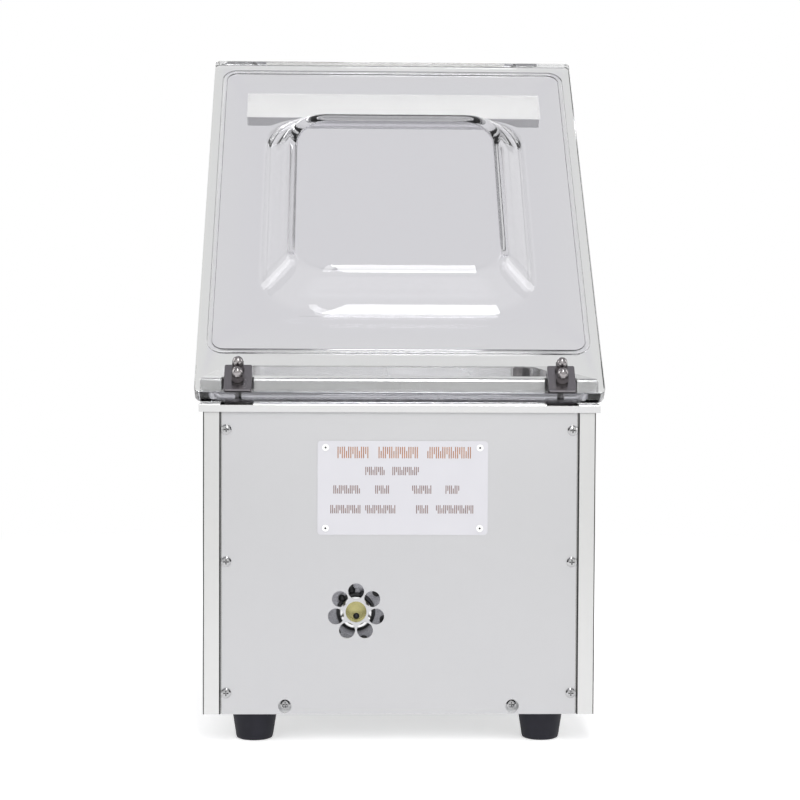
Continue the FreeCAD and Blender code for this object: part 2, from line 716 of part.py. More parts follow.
def make_seal_bar():
    """The heated bar in its channel over an air bladder, and the post that guides it."""
    y = HINGE_Y + D.lid_heel - D.press_centre
    half = D.bar_width / 2
    floor = TUB_FLOOR
    channel = Piece("bar_channel")
    outline = channel.sketch("YZ_Plane")
    outer = half + 3
    inner = half + 1
    draw_polygon(outline, [(y - outer, floor), (y + outer, floor), (y + outer, floor + 20), (y + inner, floor + 20),
                           (y + inner, floor + 2), (y - inner, floor + 2), (y - inner, floor + 20),
                           (y - outer, floor + 20)])
    channel.pad(outline, D.bar_length, middle=True)
    plate("air_bladder", -D.bar_length / 2 + 4, D.bar_length / 2 - 4, y - half + 0.3, y + half - 0.3,
          floor + 2, D.bar_rest - 0.3, 3)
    top = D.bar_rest + D.bar_tall
    post_y = D.chamber_front + 9
    post_x = POST_X
    block = box("bar_block", -D.bar_length / 2, D.bar_length / 2, y - half, y + half, D.bar_rest, top)
    lug = box("bar_lug", post_x - 5, post_x + 11, post_y, y + half, top - 8, top - 4)
    eye = cylinder("bar_eye", 6.4, post_x, post_y, top - 8, top - 4)
    bore = cylinder("bar_bore", POST_RADIUS + D.fit_gap, post_x, post_y, top - 9, top - 3)
    bar = cut("bar_bored", fuse("bar_solid", block, lug, eye), bore)
    length = D.bar_length / 2 - 1
    strip_top = top + HEATING_STRIP
    group("seal_bar", bar, box("heating_strip", -length, length, y - 4, y + 4, top, strip_top))
    box("release_tape", -length, length, y - 6, y + 6, strip_top, strip_top + 0.4)
    tall = D.chamber_depth - 0.4
    post = turned("bar_guide_post", [(0, 0), (POST_RADIUS, 0), (POST_RADIUS, tall - 1),
                                     (POST_RADIUS - 0.8, tall), (0, tall)])
    place(post.body, post_x, post_y, floor)


POST_X = -131
POST_RADIUS = 4.9
HEATING_STRIP = 0.6


def make_filler_boards():
    """Two white boards that lie in the chamber and raise the goods to the seal bar."""
    boards = []
    for layer in range(2):
        low = TUB_FLOOR + layer * BOARD_SHEET
        high = low + BOARD_SHEET
        boards.append(plate(f"filler_board_{layer + 1}", -132, 132, -118, 126, low, high, 12).body)
    group("filler_boards", *boards)


BOARD_SHEET = 12


# ---------------------------------------------------------------- lid

def lid_y(distance):
    """The lid frame's Y of a point at a distance from the slab's rear edge."""
    return D.lid_heel - distance


def make_lid():
    """The clear lid: a thick slab with a raised dome, a gasket groove and hinge bolt holes."""
    half = D.lid_width / 2
    piece = Piece("lid")
    outline = piece.sketch("XY_Plane", D.hinge_drop)
    draw_polygon(outline, [(-half, lid_y(0)), (half, lid_y(0)), (half, lid_y(D.lid_length)),
                           (-half, lid_y(D.lid_length))])
    piece.pad(outline, D.lid_thickness)
    low = piece.sketch("XY_Plane", SLAB_TOP)
    draw_rounded(low, -D.dome_half_width, D.dome_half_width, lid_y(D.dome_end), lid_y(D.dome_start),
                 DOME_CORNER + 2)
    high = piece.sketch("XY_Plane", SLAB_TOP + D.dome_rise)
    draw_rounded(high, -D.crown_half_width, D.crown_half_width, lid_y(D.crown_end), lid_y(D.crown_start),
                 DOME_CORNER)
    piece.loft(low, high)
    crown = (SLAB_TOP + D.dome_rise).value
    piece.round_edges(DOME_CORNER / 2, lambda e: is_flat_at(e, crown))
    foot = piece.sketch("XY_Plane", D.hinge_drop)
    inset = D.dome_foot_inset
    draw_rounded(foot, inset - D.dome_half_width, D.dome_half_width - inset, lid_y(D.dome_end - inset),
                 lid_y(D.dome_start + inset), DOME_CORNER)
    roof = piece.sketch("XY_Plane", SLAB_TOP + D.dome_rise - D.dome_wall)
    inset = D.dome_crown_inset
    draw_rounded(roof, inset - D.crown_half_width, D.crown_half_width - inset, lid_y(D.crown_end - inset),
                 lid_y(D.crown_start + inset), DOME_CORNER - D.dome_foot_inset * 3)
    piece.loft(foot, roof, cutting=True)
    rear, front, edge = lid_y(0).value, lid_y(D.lid_length).value, half.value

    def is_corner(e, y):
        centre = e.BoundBox.Center
        upright = e.BoundBox.XLength < 1e-4 and e.BoundBox.YLength < 1e-4
        return upright and abs(abs(centre.x) - edge) < 1e-3 and abs(centre.y - y) < 1e-3

    piece.round_edges(7, lambda e: is_corner(e, rear))
    piece.bevel_edges(4, lambda e: is_corner(e, front))
    groove = piece.sketch("XY_Plane", D.hinge_drop)
    for offset, corner in ((GROOVE_HALF, 14), (-GROOVE_HALF, 10)):
        side = D.gasket_side + offset
        draw_rounded(groove, -side, side, lid_y(D.gasket_end + offset), lid_y(D.gasket_start - offset), corner)
    piece.pocket(groove, GROOVE_DEPTH, reverse=True)
    holes = piece.sketch("XY_Plane", D.hinge_drop)
    for x in (-D.leaf_x, D.leaf_x):
        for distance in BOLT_DISTANCES:
            draw_circle(holes, x, lid_y(distance), BOLT_HOLE)
    piece.pocket(holes, D.lid_thickness, reverse=True)
    on_lid(piece.body)


BOLT_DISTANCES = (11.0, 22.8)
BOLT_HOLE = 2.6
DOME_CORNER = 28
GROOVE_HALF = 2.2
GROOVE_DEPTH = 2.6
GASKET_STAND = 0.7


def make_lid_gasket():
    """The soft ring that sits in the lid's groove and stands a little proud of it."""
    piece = Piece("lid_gasket")
    ring = piece.sketch("XY_Plane", D.hinge_drop - GASKET_STAND)
    reach = GROOVE_HALF - 0.3
    for offset, corner in ((reach, 13.7), (-reach, 10.3)):
        side = D.gasket_side + offset
        draw_rounded(ring, -side, side, lid_y(D.gasket_end + offset), lid_y(D.gasket_start - offset), corner)
    piece.pad(ring, GROOVE_DEPTH + GASKET_STAND - 0.2)
    on_lid(piece.body)


def make_press_strip():
    """The holder under the lid and the silicone strip that presses the bag on the seal bar."""
    y = lid_y(D.press_centre)
    half = D.press_width / 2
    length = D.press_length / 2
    low = D.hinge_drop - D.press_depth
    holder = plate("press_strip_holder", -length, length, y - half, y + half, low, D.hinge_drop, 1.5)
    channel = holder.sketch("YZ_Plane")
    side = STRIP_HALF
    deep = low + STRIP_DEEP
    draw_polygon(channel, [(y - side, low - 1), (y + side, low - 1), (y + side, deep), (y - side, deep)])
    holder.pocket(channel, D.press_length + 2, middle=True)
    on_lid(holder.body)
    strip = Piece("press_strip")
    outline = strip.sketch("YZ_Plane")
    nose = low - STRIP_DEEP
    draw_polygon(outline, [(y - side, deep), (y - side, low), (y + 2 - side, nose), (y + side - 2, nose),
                           (y + side, low), (y + side, deep)])
    strip.pad(outline, D.press_length - 4, middle=True)
    on_lid(strip.body)


STRIP_HALF = 7
STRIP_DEEP = 4


def make_hinges():
    """Outer leaves, U brackets under the slab, their bolts and cap nuts, and the shaft."""
    rear = lid_y(1)
    front = rear - D.leaf_length
    width = D.leaf_width / 2
    leaves = []
    brackets = []
    for label, side in (("left", -1), ("right", 1)):
        x = D.leaf_x * side
        leaf = plate(f"hinge_leaf_{label}", x - width, x + width, front, rear,
                     SLAB_TOP, SLAB_TOP + D.leaf_sheet, 1.5)
        holes = leaf.sketch("XY_Plane", SLAB_TOP + D.leaf_sheet)
        for distance in BOLT_DISTANCES:
            draw_circle(holes, x, lid_y(distance), BOLT_HOLE)
        leaf.pocket(holes, D.leaf_sheet)
        leaves.append(leaf.body)
        low = D.hinge_drop - D.bracket_sheet
        seat = box(f"seat_{label}", x - width, x + width, front, rear, low, D.hinge_drop)
        cheeks = []
        for edge in (x - width, x + width - D.bracket_sheet):
            over = edge + D.bracket_sheet
            cheeks.append(box(f"cheek_{label}{len(cheeks)}", edge, over, -KNUCKLE, KNUCKLE, 0, low + 1))
            cheeks.append(cross_cylinder(f"knuckle_{label}{len(cheeks)}", KNUCKLE, edge, over, 0, 0))
        bolts = [cylinder(f"bolt_hole_{label}{n}", BOLT_HOLE, x, lid_y(distance), low - 1, D.hinge_drop + 1)
                 for n, distance in enumerate(BOLT_DISTANCES)]
        bore = cross_cylinder(f"bore_{label}", D.shaft_radius, x - width - 1, x + width + 1, 0, 0)
        solid = fuse(f"bracket_solid_{label}", seat, *cheeks)
        brackets.append(cut(f"hinge_bracket_{label}", solid, bore, *bolts))
    on_lid(group("hinge_leaves", *leaves))
    on_lid(group("hinge_brackets", *brackets))
    places = [(D.leaf_x * side, lid_y(distance), 0) for side in (-1, 1) for distance in BOLT_DISTANCES]
    under = D.hinge_drop - D.bracket_sheet
    seat = SLAB_TOP + D.leaf_sheet
    bolt = turned("hinge_bolt", [(0, under - 3), (4.3, under - 3), (4.3, under), (BOLT_RADIUS, under),
                                 (BOLT_RADIUS, seat + BOLT_STAND), (0, seat + BOLT_STAND)])
    bolt_set = repeat("bolt_set", bolt.body, places)
    flat = seat + 1
    top = seat + WASHER_STACK
    washer = turned("hinge_washer", [(2.55, seat), (5.4, seat), (5.4, flat),
                                     (4.6, flat), (4.6, top), (2.55, top)])
    on_lid(group("hinge_bolts", bolt_set, repeat("washer_set", washer.body, places)))
    on_lid(repeat("cap_nuts", make_cap_nut(top), places))
    shaft_end = CASE_HALF - 9
    on_lid(group("hinge_shaft", cross_cylinder("shaft_rod", D.shaft_radius, -shaft_end, shaft_end, 0, 0)))


KNUCKLE = 6
BOLT_RADIUS = 2.45
BOLT_STAND = 10
WASHER_STACK = 2.8
NUT_FLATS = 9.4
NUT_HEX = 5.0
NUT_DOME = 4.35
NUT_TOP = 12.0


def make_cap_nut(seat):
    """A hexagon cap nut: six flats below, a dome above and a blind bore."""
    nut = Piece("cap_nut")
    base = nut.sketch("XY_Plane", seat)
    reach = NUT_FLATS / 2 / math.cos(math.radians(30))
    turns = [math.radians(60 * n + 30) for n in range(6)]
    draw_polygon(base, [(reach * math.cos(turn), reach * math.sin(turn)) for turn in turns])
    nut.pad(base, NUT_HEX)
    dome = nut.sketch("XZ_Plane")
    low = seat + NUT_HEX - 0.2
    top = seat + NUT_TOP
    spring = top - NUT_DOME
    arc = [(NUT_DOME * math.cos(math.radians(15 * n)), spring + NUT_DOME * math.sin(math.radians(15 * n)))
           for n in range(6)]
    draw_polygon(dome, [(0, low), (NUT_DOME, low), *arc, (0, top)])
    nut.turn(dome)
    bore = nut.sketch("XY_Plane", seat)
    draw_circle(bore, 0, 0, BOLT_RADIUS + 0.05)
    nut.pocket(bore, BOLT_STAND - WASHER_STACK + 0.6, reverse=True)
    return nut.body


def make_hinge_drive():
    """Bearing blocks under the deck, levers on the shaft, the pull springs and their anchor bar."""
    blocks = []
    for number, (x0, x1) in enumerate(((-116, -102), (102, 116), (-152, -149), (149, 152))):
        solid = box(f"bearing_block{number}", x0, x1, HINGE_Y - 8, HINGE_Y + 5, HINGE_Z - 7, DECK_TOP - D.metal)
        bore = cross_cylinder(f"bearing_bore{number}", D.shaft_radius + 0.05, x0 - 1, x1 + 1, HINGE_Y, HINGE_Z)
        blocks.append(cut(f"bearing{number}", solid, bore))
    group("hinge_bearings", *blocks)
    levers = []
    turn = math.radians(LEVER_ANGLE - D.lid_angle.value / 2)
    for x in (-SPRING_X, SPRING_X):
        name = f"lever{int(x)}".replace("-", "n")
        low, high = x - LEVER_HALF, x + LEVER_HALF
        arm = box(name + "_arm", low, high, 0, LEVER_REACH, -3.5, 3.5)
        hub = cross_cylinder(name + "_hub", 5.2, low, high, 0, 0)
        tip = cross_cylinder(name + "_tip", 4.5, low, high, LEVER_REACH, 0)
        pin = cross_cylinder(name + "_pin", 2, x - 7, x + 7, LEVER_REACH, 0)
        bore = cross_cylinder(name + "_bore", D.shaft_radius, x - 4, x + 4, 0, 0)
        levers.append(cut(name, fuse(name + "_solid", arm, hub, tip, pin), bore))
    place(group("shaft_levers", *levers), 0, HINGE_Y, HINGE_Z, X_AXIS, math.degrees(turn))
    tip_y = HINGE_Y + LEVER_REACH * math.cos(turn)
    tip_z = HINGE_Z + LEVER_REACH * math.sin(turn)
    inner = CASE_HALF - D.metal
    anchor = cross_cylinder("spring_anchor_bar", D.shaft_radius, -inner, inner, ANCHOR_Y, ANCHOR_Z)
    group("frame_bars", anchor, *make_rails())
    run = math.hypot(tip_y.value - ANCHOR_Y, tip_z.value - ANCHOR_Z)
    lean = math.degrees(math.atan2(tip_z.value - ANCHOR_Z, tip_y.value - ANCHOR_Y))
    length = run - SPRING_GAP * 2
    coil = turned("spring_coil", [(3.6, 0), (5.6, 0), (5.6, length), (3.6, length)])
    start_y = ANCHOR_Y + SPRING_GAP * math.cos(math.radians(lean))
    start_z = ANCHOR_Z + SPRING_GAP * math.sin(math.radians(lean))
    places = [(x, start_y, start_z) for x in (-SPRING_X, SPRING_X)]
    repeat("lid_springs", coil.body, places, X_AXIS, lean - 90)


LEVER_ANGLE = -97.5
LEVER_REACH = 20.0
LEVER_HALF = 2
SPRING_GAP = 6.0
SPRING_X = 94
ANCHOR_Y = 122.0
ANCHOR_Z = 202.0


# ---------------------------------------------------------------- controls

def make_control_plate():
    """The plate that carries the controls, with an opening for each of them."""
    piece = plate("control_plate", -PLATE_HALF, PLATE_HALF, PLATE_LOW, PLATE_HIGH, 0, D.panel_plate, 4)
    holes = piece.sketch("XY_Plane", D.panel_plate)
    draw_circle(holes, GAUGE_X, GAUGE_UP, D.gauge_radius - 4)
    draw_rounded(holes, -30, 30, 118, 142, 1.5)
    for x in KEY_X:
        draw_circle(holes, x, KEY_UP, D.key_radius + D.fit_gap)
    draw_circle(holes, STOP_X, STOP_UP, 8)
    draw_rounded(holes, STOP_X - 11, STOP_X + 11, ROCKER_UP - 14.5, ROCKER_UP + 14.5, 1)
    for x in LAMP_X:
        draw_circle(holes, x, LAMP_UP, 2.05)
    piece.pocket(holes, D.panel_plate)
    on_panel(piece.body)


PLATE_HALF = 145
PLATE_LOW = 18
PLATE_HIGH = 178
GAUGE_X = -92
GAUGE_UP = 98
STOP_X = 92
STOP_UP = 132
ROCKER_UP = 68
KEY_X = (-36, -12, 12, 36)
KEY_UP = 76
LAMP_X = (-30, -10, 10, 30)
LAMP_UP = 102


def make_gauge():
    """The vacuum gauge: a can behind the panel, dial, needle, glass and bezel."""
    face = D.gauge_radius - 4
    can = turned("gauge_can", [(0, -26), (face - 1, -26), (face - 1, 3), (face - 2.5, 3),
                               (face - 2.5, -24), (0, -24)])
    dial = turned("gauge_dial", [(1.6, 2.2), (face - 2.7, 2.2), (face - 2.7, 3.0), (1.6, 3.0)])
    bezel = turned("gauge_bezel", [(face - 0.8, D.panel_plate), (D.gauge_radius, D.panel_plate),
                                   (D.gauge_radius, 8), (D.gauge_radius - 1.5, 10), (face - 2, 10), (face - 2, 8.6),
                                   (face - 0.8, 8.6)])
    glass = turned("gauge_glass", [(0, 6.8), (face - 1.0, 6.8), (face - 1.0, 8.5), (0, 8.5)])
    hub = cylinder("needle_hub", 3.0, 0, 0, 3.6, 5.6)
    stem = cylinder("needle_stem", 1.0, 0, 0, -20, 4.6)
    blade = box("needle_blade", -0.7, 0.7, -7, face - 7, 4.0, 4.8)
    needle = fuse("needle_solid", hub, stem, blade)
    pointer = group("gauge_needle", needle)
    for obj in (can.body, dial.body, bezel.body, glass.body):
        shift_on_panel(obj, GAUGE_X, GAUGE_UP)
    group("gauge_case", can.body, bezel.body)
    place(needle, 0, 0, 0, Z_AXIS, 135)
    shift_on_panel(pointer, GAUGE_X, GAUGE_UP)


def shift_on_panel(obj, x, up, out=0):
    """Stand an object on the control panel at a place of its own."""
    turn = math.radians(SLOPE_ANGLE)
    y = D.front_face + as_size(up) * math.cos(turn) - as_size(out) * math.sin(turn)
    z = FRONT_WALL_TOP + as_size(up) * math.sin(turn) + as_size(out) * math.cos(turn)
    return place(obj, x, y, z, X_AXIS, SLOPE_ANGLE)


def make_display():
    """The display window, the lamps, the four keys and the circuit board behind them."""
    window = plate("display_window", -29.7, 29.7, 118.3, 141.7, 0.4, D.panel_plate + 0.8, 1.3)
    on_panel(window.body)
    lamp = turned("lamp", [(0, -3), (2.0, -3), (2.0, 2.4), (1.4, 3.2), (0, 3.5)])
    lamps = repeat("indicator_lamps", lamp.body, [(x, LAMP_UP, 0) for x in LAMP_X])
    on_panel(lamps)
    for name, x in zip(("key_set", "key_down", "key_up", "key_start"), KEY_X):
        radius = D.key_radius
        key = turned(name, [(0, -2.4), (radius + 1.4, -2.4), (radius + 1.4, -0.4), (radius, -0.4), (radius, 3.6),
                            (radius - 0.9, 4.5), (0, 4.5)])
        shift_on_panel(key.body, x, KEY_UP)
    board = plate("display_board", -56, 56, 60, 148, -8.5, -6.9, 2)
    on_panel(board.body)


def make_stop_button():
    """The red stop button and its collar."""
    collar = turned("stop_collar", [(7.4, -14), (7.9, -14), (7.9, D.panel_plate), (15, D.panel_plate),
                                    (15, 4.2), (14.2, 5), (7.4, 5)])
    shift_on_panel(collar.body, STOP_X, STOP_UP)
    button = turned("stop_button", [(0, -12), (7.0, -12), (7.0, 10.5), (12.5, 10.5), (14, 12), (14, 14.5),
                                    (11.5, 17), (6, 18.6), (0, 19)])
    shift_on_panel(button.body, STOP_X, STOP_UP)


def make_power_switch():
    """The rocker switch: a frame in the panel and a rocker that tips about its middle."""
    outer = plate("rocker_frame", STOP_X - 13, STOP_X + 13, ROCKER_UP - 16.5, ROCKER_UP + 16.5,
                  D.panel_plate, D.panel_plate + 2.2, 2)
    well = outer.sketch("XY_Plane", D.panel_plate)
    draw_rounded(well, STOP_X - 10.7, STOP_X + 10.7, ROCKER_UP - 14.2, ROCKER_UP + 14.2, 0.8)
    outer.pad(well, -(as_size(-16) - D.panel_plate)).Reversed = True
    DOC.recompute()
    hole = outer.sketch("XY_Plane", D.panel_plate + 2.2)
    draw_rounded(hole, STOP_X - 9.5, STOP_X + 9.5, ROCKER_UP - 13, ROCKER_UP + 13, 0.6)
    outer.pocket(hole, 18.5)
    on_panel(outer.body)
    group("switch_surrounds", outer.body, DOC.getObject("stop_collar"))
    rocker = Piece("power_rocker")
    side = rocker.sketch("YZ_Plane")
    draw_polygon(side, [(-11.8, -4), (11.8, -4), (12.0, 3.2), (8.5, 3.4), (0, 1.2), (-8.5, 3.4), (-12.0, 3.2)])
    rocker.pad(side, ROCKER_WIDTH, middle=True)
    pivot = rocker.sketch("YZ_Plane")
    draw_circle(pivot, 0, 0, 1.0)
    rocker.pad(pivot, ROCKER_WIDTH + 0.6, middle=True)
    turn = math.radians(SLOPE_ANGLE)
    lift = D.panel_plate + 1.2
    y = D.front_face + ROCKER_UP * math.cos(turn) - lift * math.sin(turn)
    z = FRONT_WALL_TOP + ROCKER_UP * math.sin(turn) + lift * math.cos(turn)
    place(rocker.body, STOP_X, y, z, X_AXIS, SLOPE_ANGLE + ROCKER_TILT)


ROCKER_TILT = 7.0
ROCKER_WIDTH = 18.2


def make_power_inlet():
    """The mains inlet and the fuse holder on the left side."""
    x = -CASE_HALF
    flange = box("inlet_flange", x - 2.4, x, INLET_Y - 17, INLET_Y + 17, INLET_Z - 13, INLET_Z + 13)
    shell = box("inlet_shell", x - 1, x + 18, INLET_Y - 13.6, INLET_Y + 13.6, INLET_Z - 10.1, INLET_Z + 10.1)
    well = box("inlet_well", x - 4, x + 15, INLET_Y - 12, INLET_Y + 12, INLET_Z - 8.2, INLET_Z + 8.2)
    socket = cut("inlet_socket", fuse("inlet_solid", flange, shell), well)
    pins = [box(f"pin{n}", x + 3, x + 15, INLET_Y + dy - 1, INLET_Y + dy + 1, INLET_Z + dz - 2, INLET_Z + dz + 2)
            for n, (dy, dz) in enumerate(((-6, -1.5), (6, -1.5), (0, 2)))]
    group("power_inlet", socket, *pins)
    fuse_cap = turned("fuse_holder", [(0, -20), (6.4, -20), (6.4, 0), (8.4, 0), (8.4, 2.2),
                                      (6, 3.2), (6, 4.6), (0, 4.6)])
    place(fuse_cap.body, x, FUSE_Y, INLET_Z, Y_AXIS, -90)


# ---------------------------------------------------------------- inside the case

GLASS_DROP = 1.4
PUMP_FRONT = 98
PUMP_REAR = 196
PUMP_FOOT = 44
PUMP_TOP = 168


def make_pump():
    """The oil pump: casting with end cover and sight glass, filler cap, filter and cradle."""
    x = D.pump_x
    z = D.pump_height
    glass_z = z - GLASS_DROP
    cast = box("pump_casting", x - 58, x + 58, PUMP_FRONT, PUMP_REAR, PUMP_FOOT, PUMP_TOP)
    cover = long_cylinder("pump_cover", 50, x, PUMP_REAR, PUMP_REAR + 8, z)
    boss = long_cylinder("pump_boss", 27, x, PUMP_REAR + 8, PUMP_REAR + 12, glass_z)
    groove = long_cylinder("pump_groove", 20, x, 206.5, 209, glass_z)
    seat = long_cylinder("glass_seat", 8.2, x, 200, 209, glass_z)
    bearing = long_cylinder("pump_bearing", 9.4, x, 97, 180, z)
    cut("pump_body", fuse("pump_solid", cast, cover, boss), groove, seat, bearing)
    bolts = []
    for number in range(6):
        turn = math.radians(60 * number + 15)
        bolts.append((x + 23.5 * math.cos(turn), PUMP_REAR + 12, glass_z + 23.5 * math.sin(turn)))
    bolt = turned("cover_bolt", [(0, 0), (3.4, 0), (3.4, 3), (2.6, 3.4), (1.6, 3.4), (1.6, 1.6), (0, 1.6)])
    repeat("pump_bolts", bolt.body, bolts, X_AXIS, -90)
    glass = Piece("oil_sight_glass")
    rim = glass.sketch("XY_Plane")
    draw_polygon(rim, [(11.5 * math.cos(math.radians(60 * n)), 11.5 * math.sin(math.radians(60 * n)))
                       for n in range(6)])
    glass.pad(rim, 4.5)
    stub = glass.sketch("XY_Plane")
    draw_circle(stub, 0, 0, 8)
    glass.pad(stub, 6).Reversed = True
    DOC.recompute()
    lens = glass.sketch("XY_Plane", 4.5)
    draw_circle(lens, 0, 0, 6.2)
    glass.pocket(lens, 1.6)
    place(glass.body, x, 206.5, glass_z, X_AXIS, -90)
    cap = turned("oil_filler_cap", [(0, 0), (12, 0), (12, 9), (10.5, 11), (0, 11)])
    place(cap.body, x - 36, PUMP_REAR - 18, PUMP_TOP)
    filter_can = turned("exhaust_filter", [(0, 0), (22, 0), (24, 3), (24, 44), (21, 48), (0, 48)])
    place(filter_can.body, x + 24, PUMP_REAR - 46, PUMP_TOP)
    cradle = box("cradle_plate", x - 62, x + 62, -70, PUMP_REAR, PUMP_FOOT - 6, PUMP_FOOT)
    saddle = box("cradle_saddle", x - 40, x + 40, -20, 60, PUMP_FOOT, PUMP_FOOT + 18)
    hollow = long_cylinder("cradle_hollow", D.motor_radius, x, -30, 70, z)
    cut("pump_cradle", fuse("cradle_solid", cradle, saddle), hollow)
    mount = turned("mount", [(0, 0), (9, 0), (9, 11.5), (0, 11.5)])
    spots = [(x + dx, dy, CASE_BOTTOM + D.metal) for dx in (-52, 52) for dy in (-60, 186)]
    repeat("pump_mounts", mount.body, spots)


def make_motor():
    """The motor with a bored housing, its through shaft, its cooling fan and fan cover."""
    x = D.pump_x
    z = D.pump_height
    radius = D.motor_radius
    body = long_cylinder("motor_barrel", radius, x, -66, PUMP_FRONT, z)
    bore = long_cylinder("motor_bore", 8.4, x, -67, 99, z)
    cut("motor_housing", body, bore)
    shaft = long_cylinder("motor_shaft", 8, x, -88, 176, z)
    hub = long_cylinder("fan_hub", 14, x, -84, -72, z)
    blades = [hub]
    for number in range(6):
        blade = box(f"fan_blade{number}", -1.2, 1.2, 0, 11, 10, 42)
        blades.append(place(group(f"fan_turned{number}", blade), x, -83.5, z, Y_AXIS, number * 60))
    shaft_bore = long_cylinder("fan_bore", 8, x, -86, -70, z)
    group("motor_rotor", shaft, cut("motor_fan", fuse("fan_solid", *blades), shaft_bore))
    cover = turned("fan_cover", [(12, 0), (radius, 0), (radius, 30), (radius - 1.5, 30),
                                 (radius - 1.5, 1.5), (12, 1.5)])
    place(cover.body, x, -96, z, X_AXIS, -90)


def make_electrics():
    """The transformer, the control board with its relays and the two solenoid valves."""
    x = -98
    core = box("core_block", x - 36, x + 36, -90, -34, CASE_BOTTOM + D.metal, 92)
    windows = [box(f"core_window{n}", x + a, x + b, -95, -30, 44, 80)
               for n, (a, b) in enumerate(((-25, -13), (13, 25)))]
    laminations = cut("transformer_core", core, *windows)
    coil = plate("coil_outer", x - 24.5, x + 24.5, -104, -20, 44.5, 79.5, 8)
    limb = box("coil_limb", x - 13.2, x + 13.2, -90.2, -33.8, 40, 90)
    outer = box("coil_outer_core", x + 24.4, x + 40, -90.2, -33.8, 40, 90)
    winding = cut("transformer_coil", coil.body, limb, outer)
    group("transformer", laminations, winding)
    board = plate("main_board", -150, -40, -190, -112, 40, 41.6, 3)
    relays = [box(f"relay{n}", -140 + 24 * n, -122 + 24 * n, -180, -160, 41.6, 57) for n in range(4)]
    post = turned("standoff", [(0, 0), (3, 0), (3, 13.5), (0, 13.5)])
    spots = [(px, py, CASE_BOTTOM + D.metal) for px in (-145, -45) for py in (-185, -117)]
    posts = repeat("board_posts", post.body, spots)
    group("control_board", board.body, posts, DOC.getObject("display_board"), *relays)
    valve_body = box("valve_block", SUCTION_X - 18, SUCTION_X + 18, SUCTION_Y - 16, SUCTION_Y + 16, 196, 232)
    valve_neck = cylinder("valve_neck", 8, SUCTION_X, SUCTION_Y, 231, TUB_FLOOR - D.metal)
    coil = plate("valve_coil", SUCTION_X - 16, SUCTION_X + 16, SUCTION_Y - 15, SUCTION_Y + 15, 158, 196, 5)
    group("vacuum_valve", fuse("valve_solid", valve_body, valve_neck), coil.body)


def make_hose():
    """The suction hose from the valve to the pump's inlet, straight runs with round bends."""
    start = FreeCAD.Vector(SUCTION_X + 18, SUCTION_Y, 214)
    corner = FreeCAD.Vector(D.pump_x.value - 25, SUCTION_Y, 214)
    end = FreeCAD.Vector(D.pump_x.value - 25, SUCTION_Y, PUMP_TOP)
    bend = 22.0
    before = corner - FreeCAD.Vector(bend, 0, 0)
    after = corner - FreeCAD.Vector(0, 0, bend)
    slack = bend * (1 - math.sqrt(0.5))
    middle = corner + FreeCAD.Vector(-slack, 0, -slack)
    path = Part.Wire([Part.LineSegment(start, before).toShape(), Part.Arc(before, middle, after).toShape(),
                      Part.LineSegment(after, end).toShape()])
    radius = 7.0
    ring = Part.Wire(Part.makeCircle(radius, start, X_AXIS))
    solid = path.makePipeShell([ring], True, False)
    hose = DOC.addObject("Part::Feature", "suction_hose")
    hose.Shape = solid


SUBPARTS = (
    "chamber_deck", "chamber_tub", "side_panel_left", "side_panel_right", "rear_panel", "front_panel", "base_tray",
    "frame_bars", "case_screws", "nameplate", "nameplate_fixings", "feet", "bar_channel", "air_bladder", "seal_bar",
    "release_tape", "bar_guide_post", "filler_boards", "lid", "lid_gasket", "press_strip_holder", "press_strip",
    "hinge_leaves", "hinge_brackets", "hinge_bolts", "cap_nuts", "hinge_shaft", "hinge_bearings", "shaft_levers",
    "lid_springs", "control_plate", "gauge_case", "gauge_dial", "gauge_glass", "gauge_needle", "display_window",
    "indicator_lamps", "key_set", "key_down", "key_up", "key_start", "stop_button", "switch_surrounds",
    "power_rocker", "power_inlet", "fuse_holder", "pump_body", "pump_bolts", "oil_sight_glass", "oil_filler_cap",
    "exhaust_filter", "pump_cradle", "pump_mounts", "motor_housing", "motor_rotor", "fan_cover", "transformer",
    "control_board", "vacuum_valve", "suction_hose",
)


def build():
    """Make every sub-part."""
    make_deck()
    make_tub()
    make_side("side_panel_left", -1)
    make_side("side_panel_right", 1)
    make_rear_panel()
    make_front_panel()
    make_base_tray()
    make_screws()
    make_nameplate()
    make_feet()
    make_seal_bar()
    make_filler_boards()
    make_lid()
    make_lid_gasket()
    make_press_strip()
    make_hinges()
    make_hinge_drive()
    make_control_plate()
    make_gauge()
    make_display()
    make_stop_button()
    make_power_switch()
    make_power_inlet()
    make_pump()
    make_motor()
    make_electrics()
    make_hose()
    DOC.recompute()


def check_and_export():
    """Refuse failed objects and bad shapes, then write each sub-part to its own file."""
    for obj in DOC.Objects:
        if "Invalid" in obj.State or "Error" in obj.State:
            raise RuntimeError(f"{obj.Name} is {obj.State}")
    os.makedirs("parts", exist_ok=True)
    for name in SUBPARTS:
        shape = DOC.getObject(name).Shape
        if shape.isNull() or not shape.isValid() or not shape.Solids:
            raise RuntimeError(f"{name} has no valid solid")
        shape.exportStep(f"parts/{name}.step")
        print(f"{name}: {len(shape.Solids)} solid(s), {shape.Volume:.0f} mm3")


build()
check_and_export()
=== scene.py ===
import json
import logging
import math
from dataclasses import dataclass
from enum import Enum

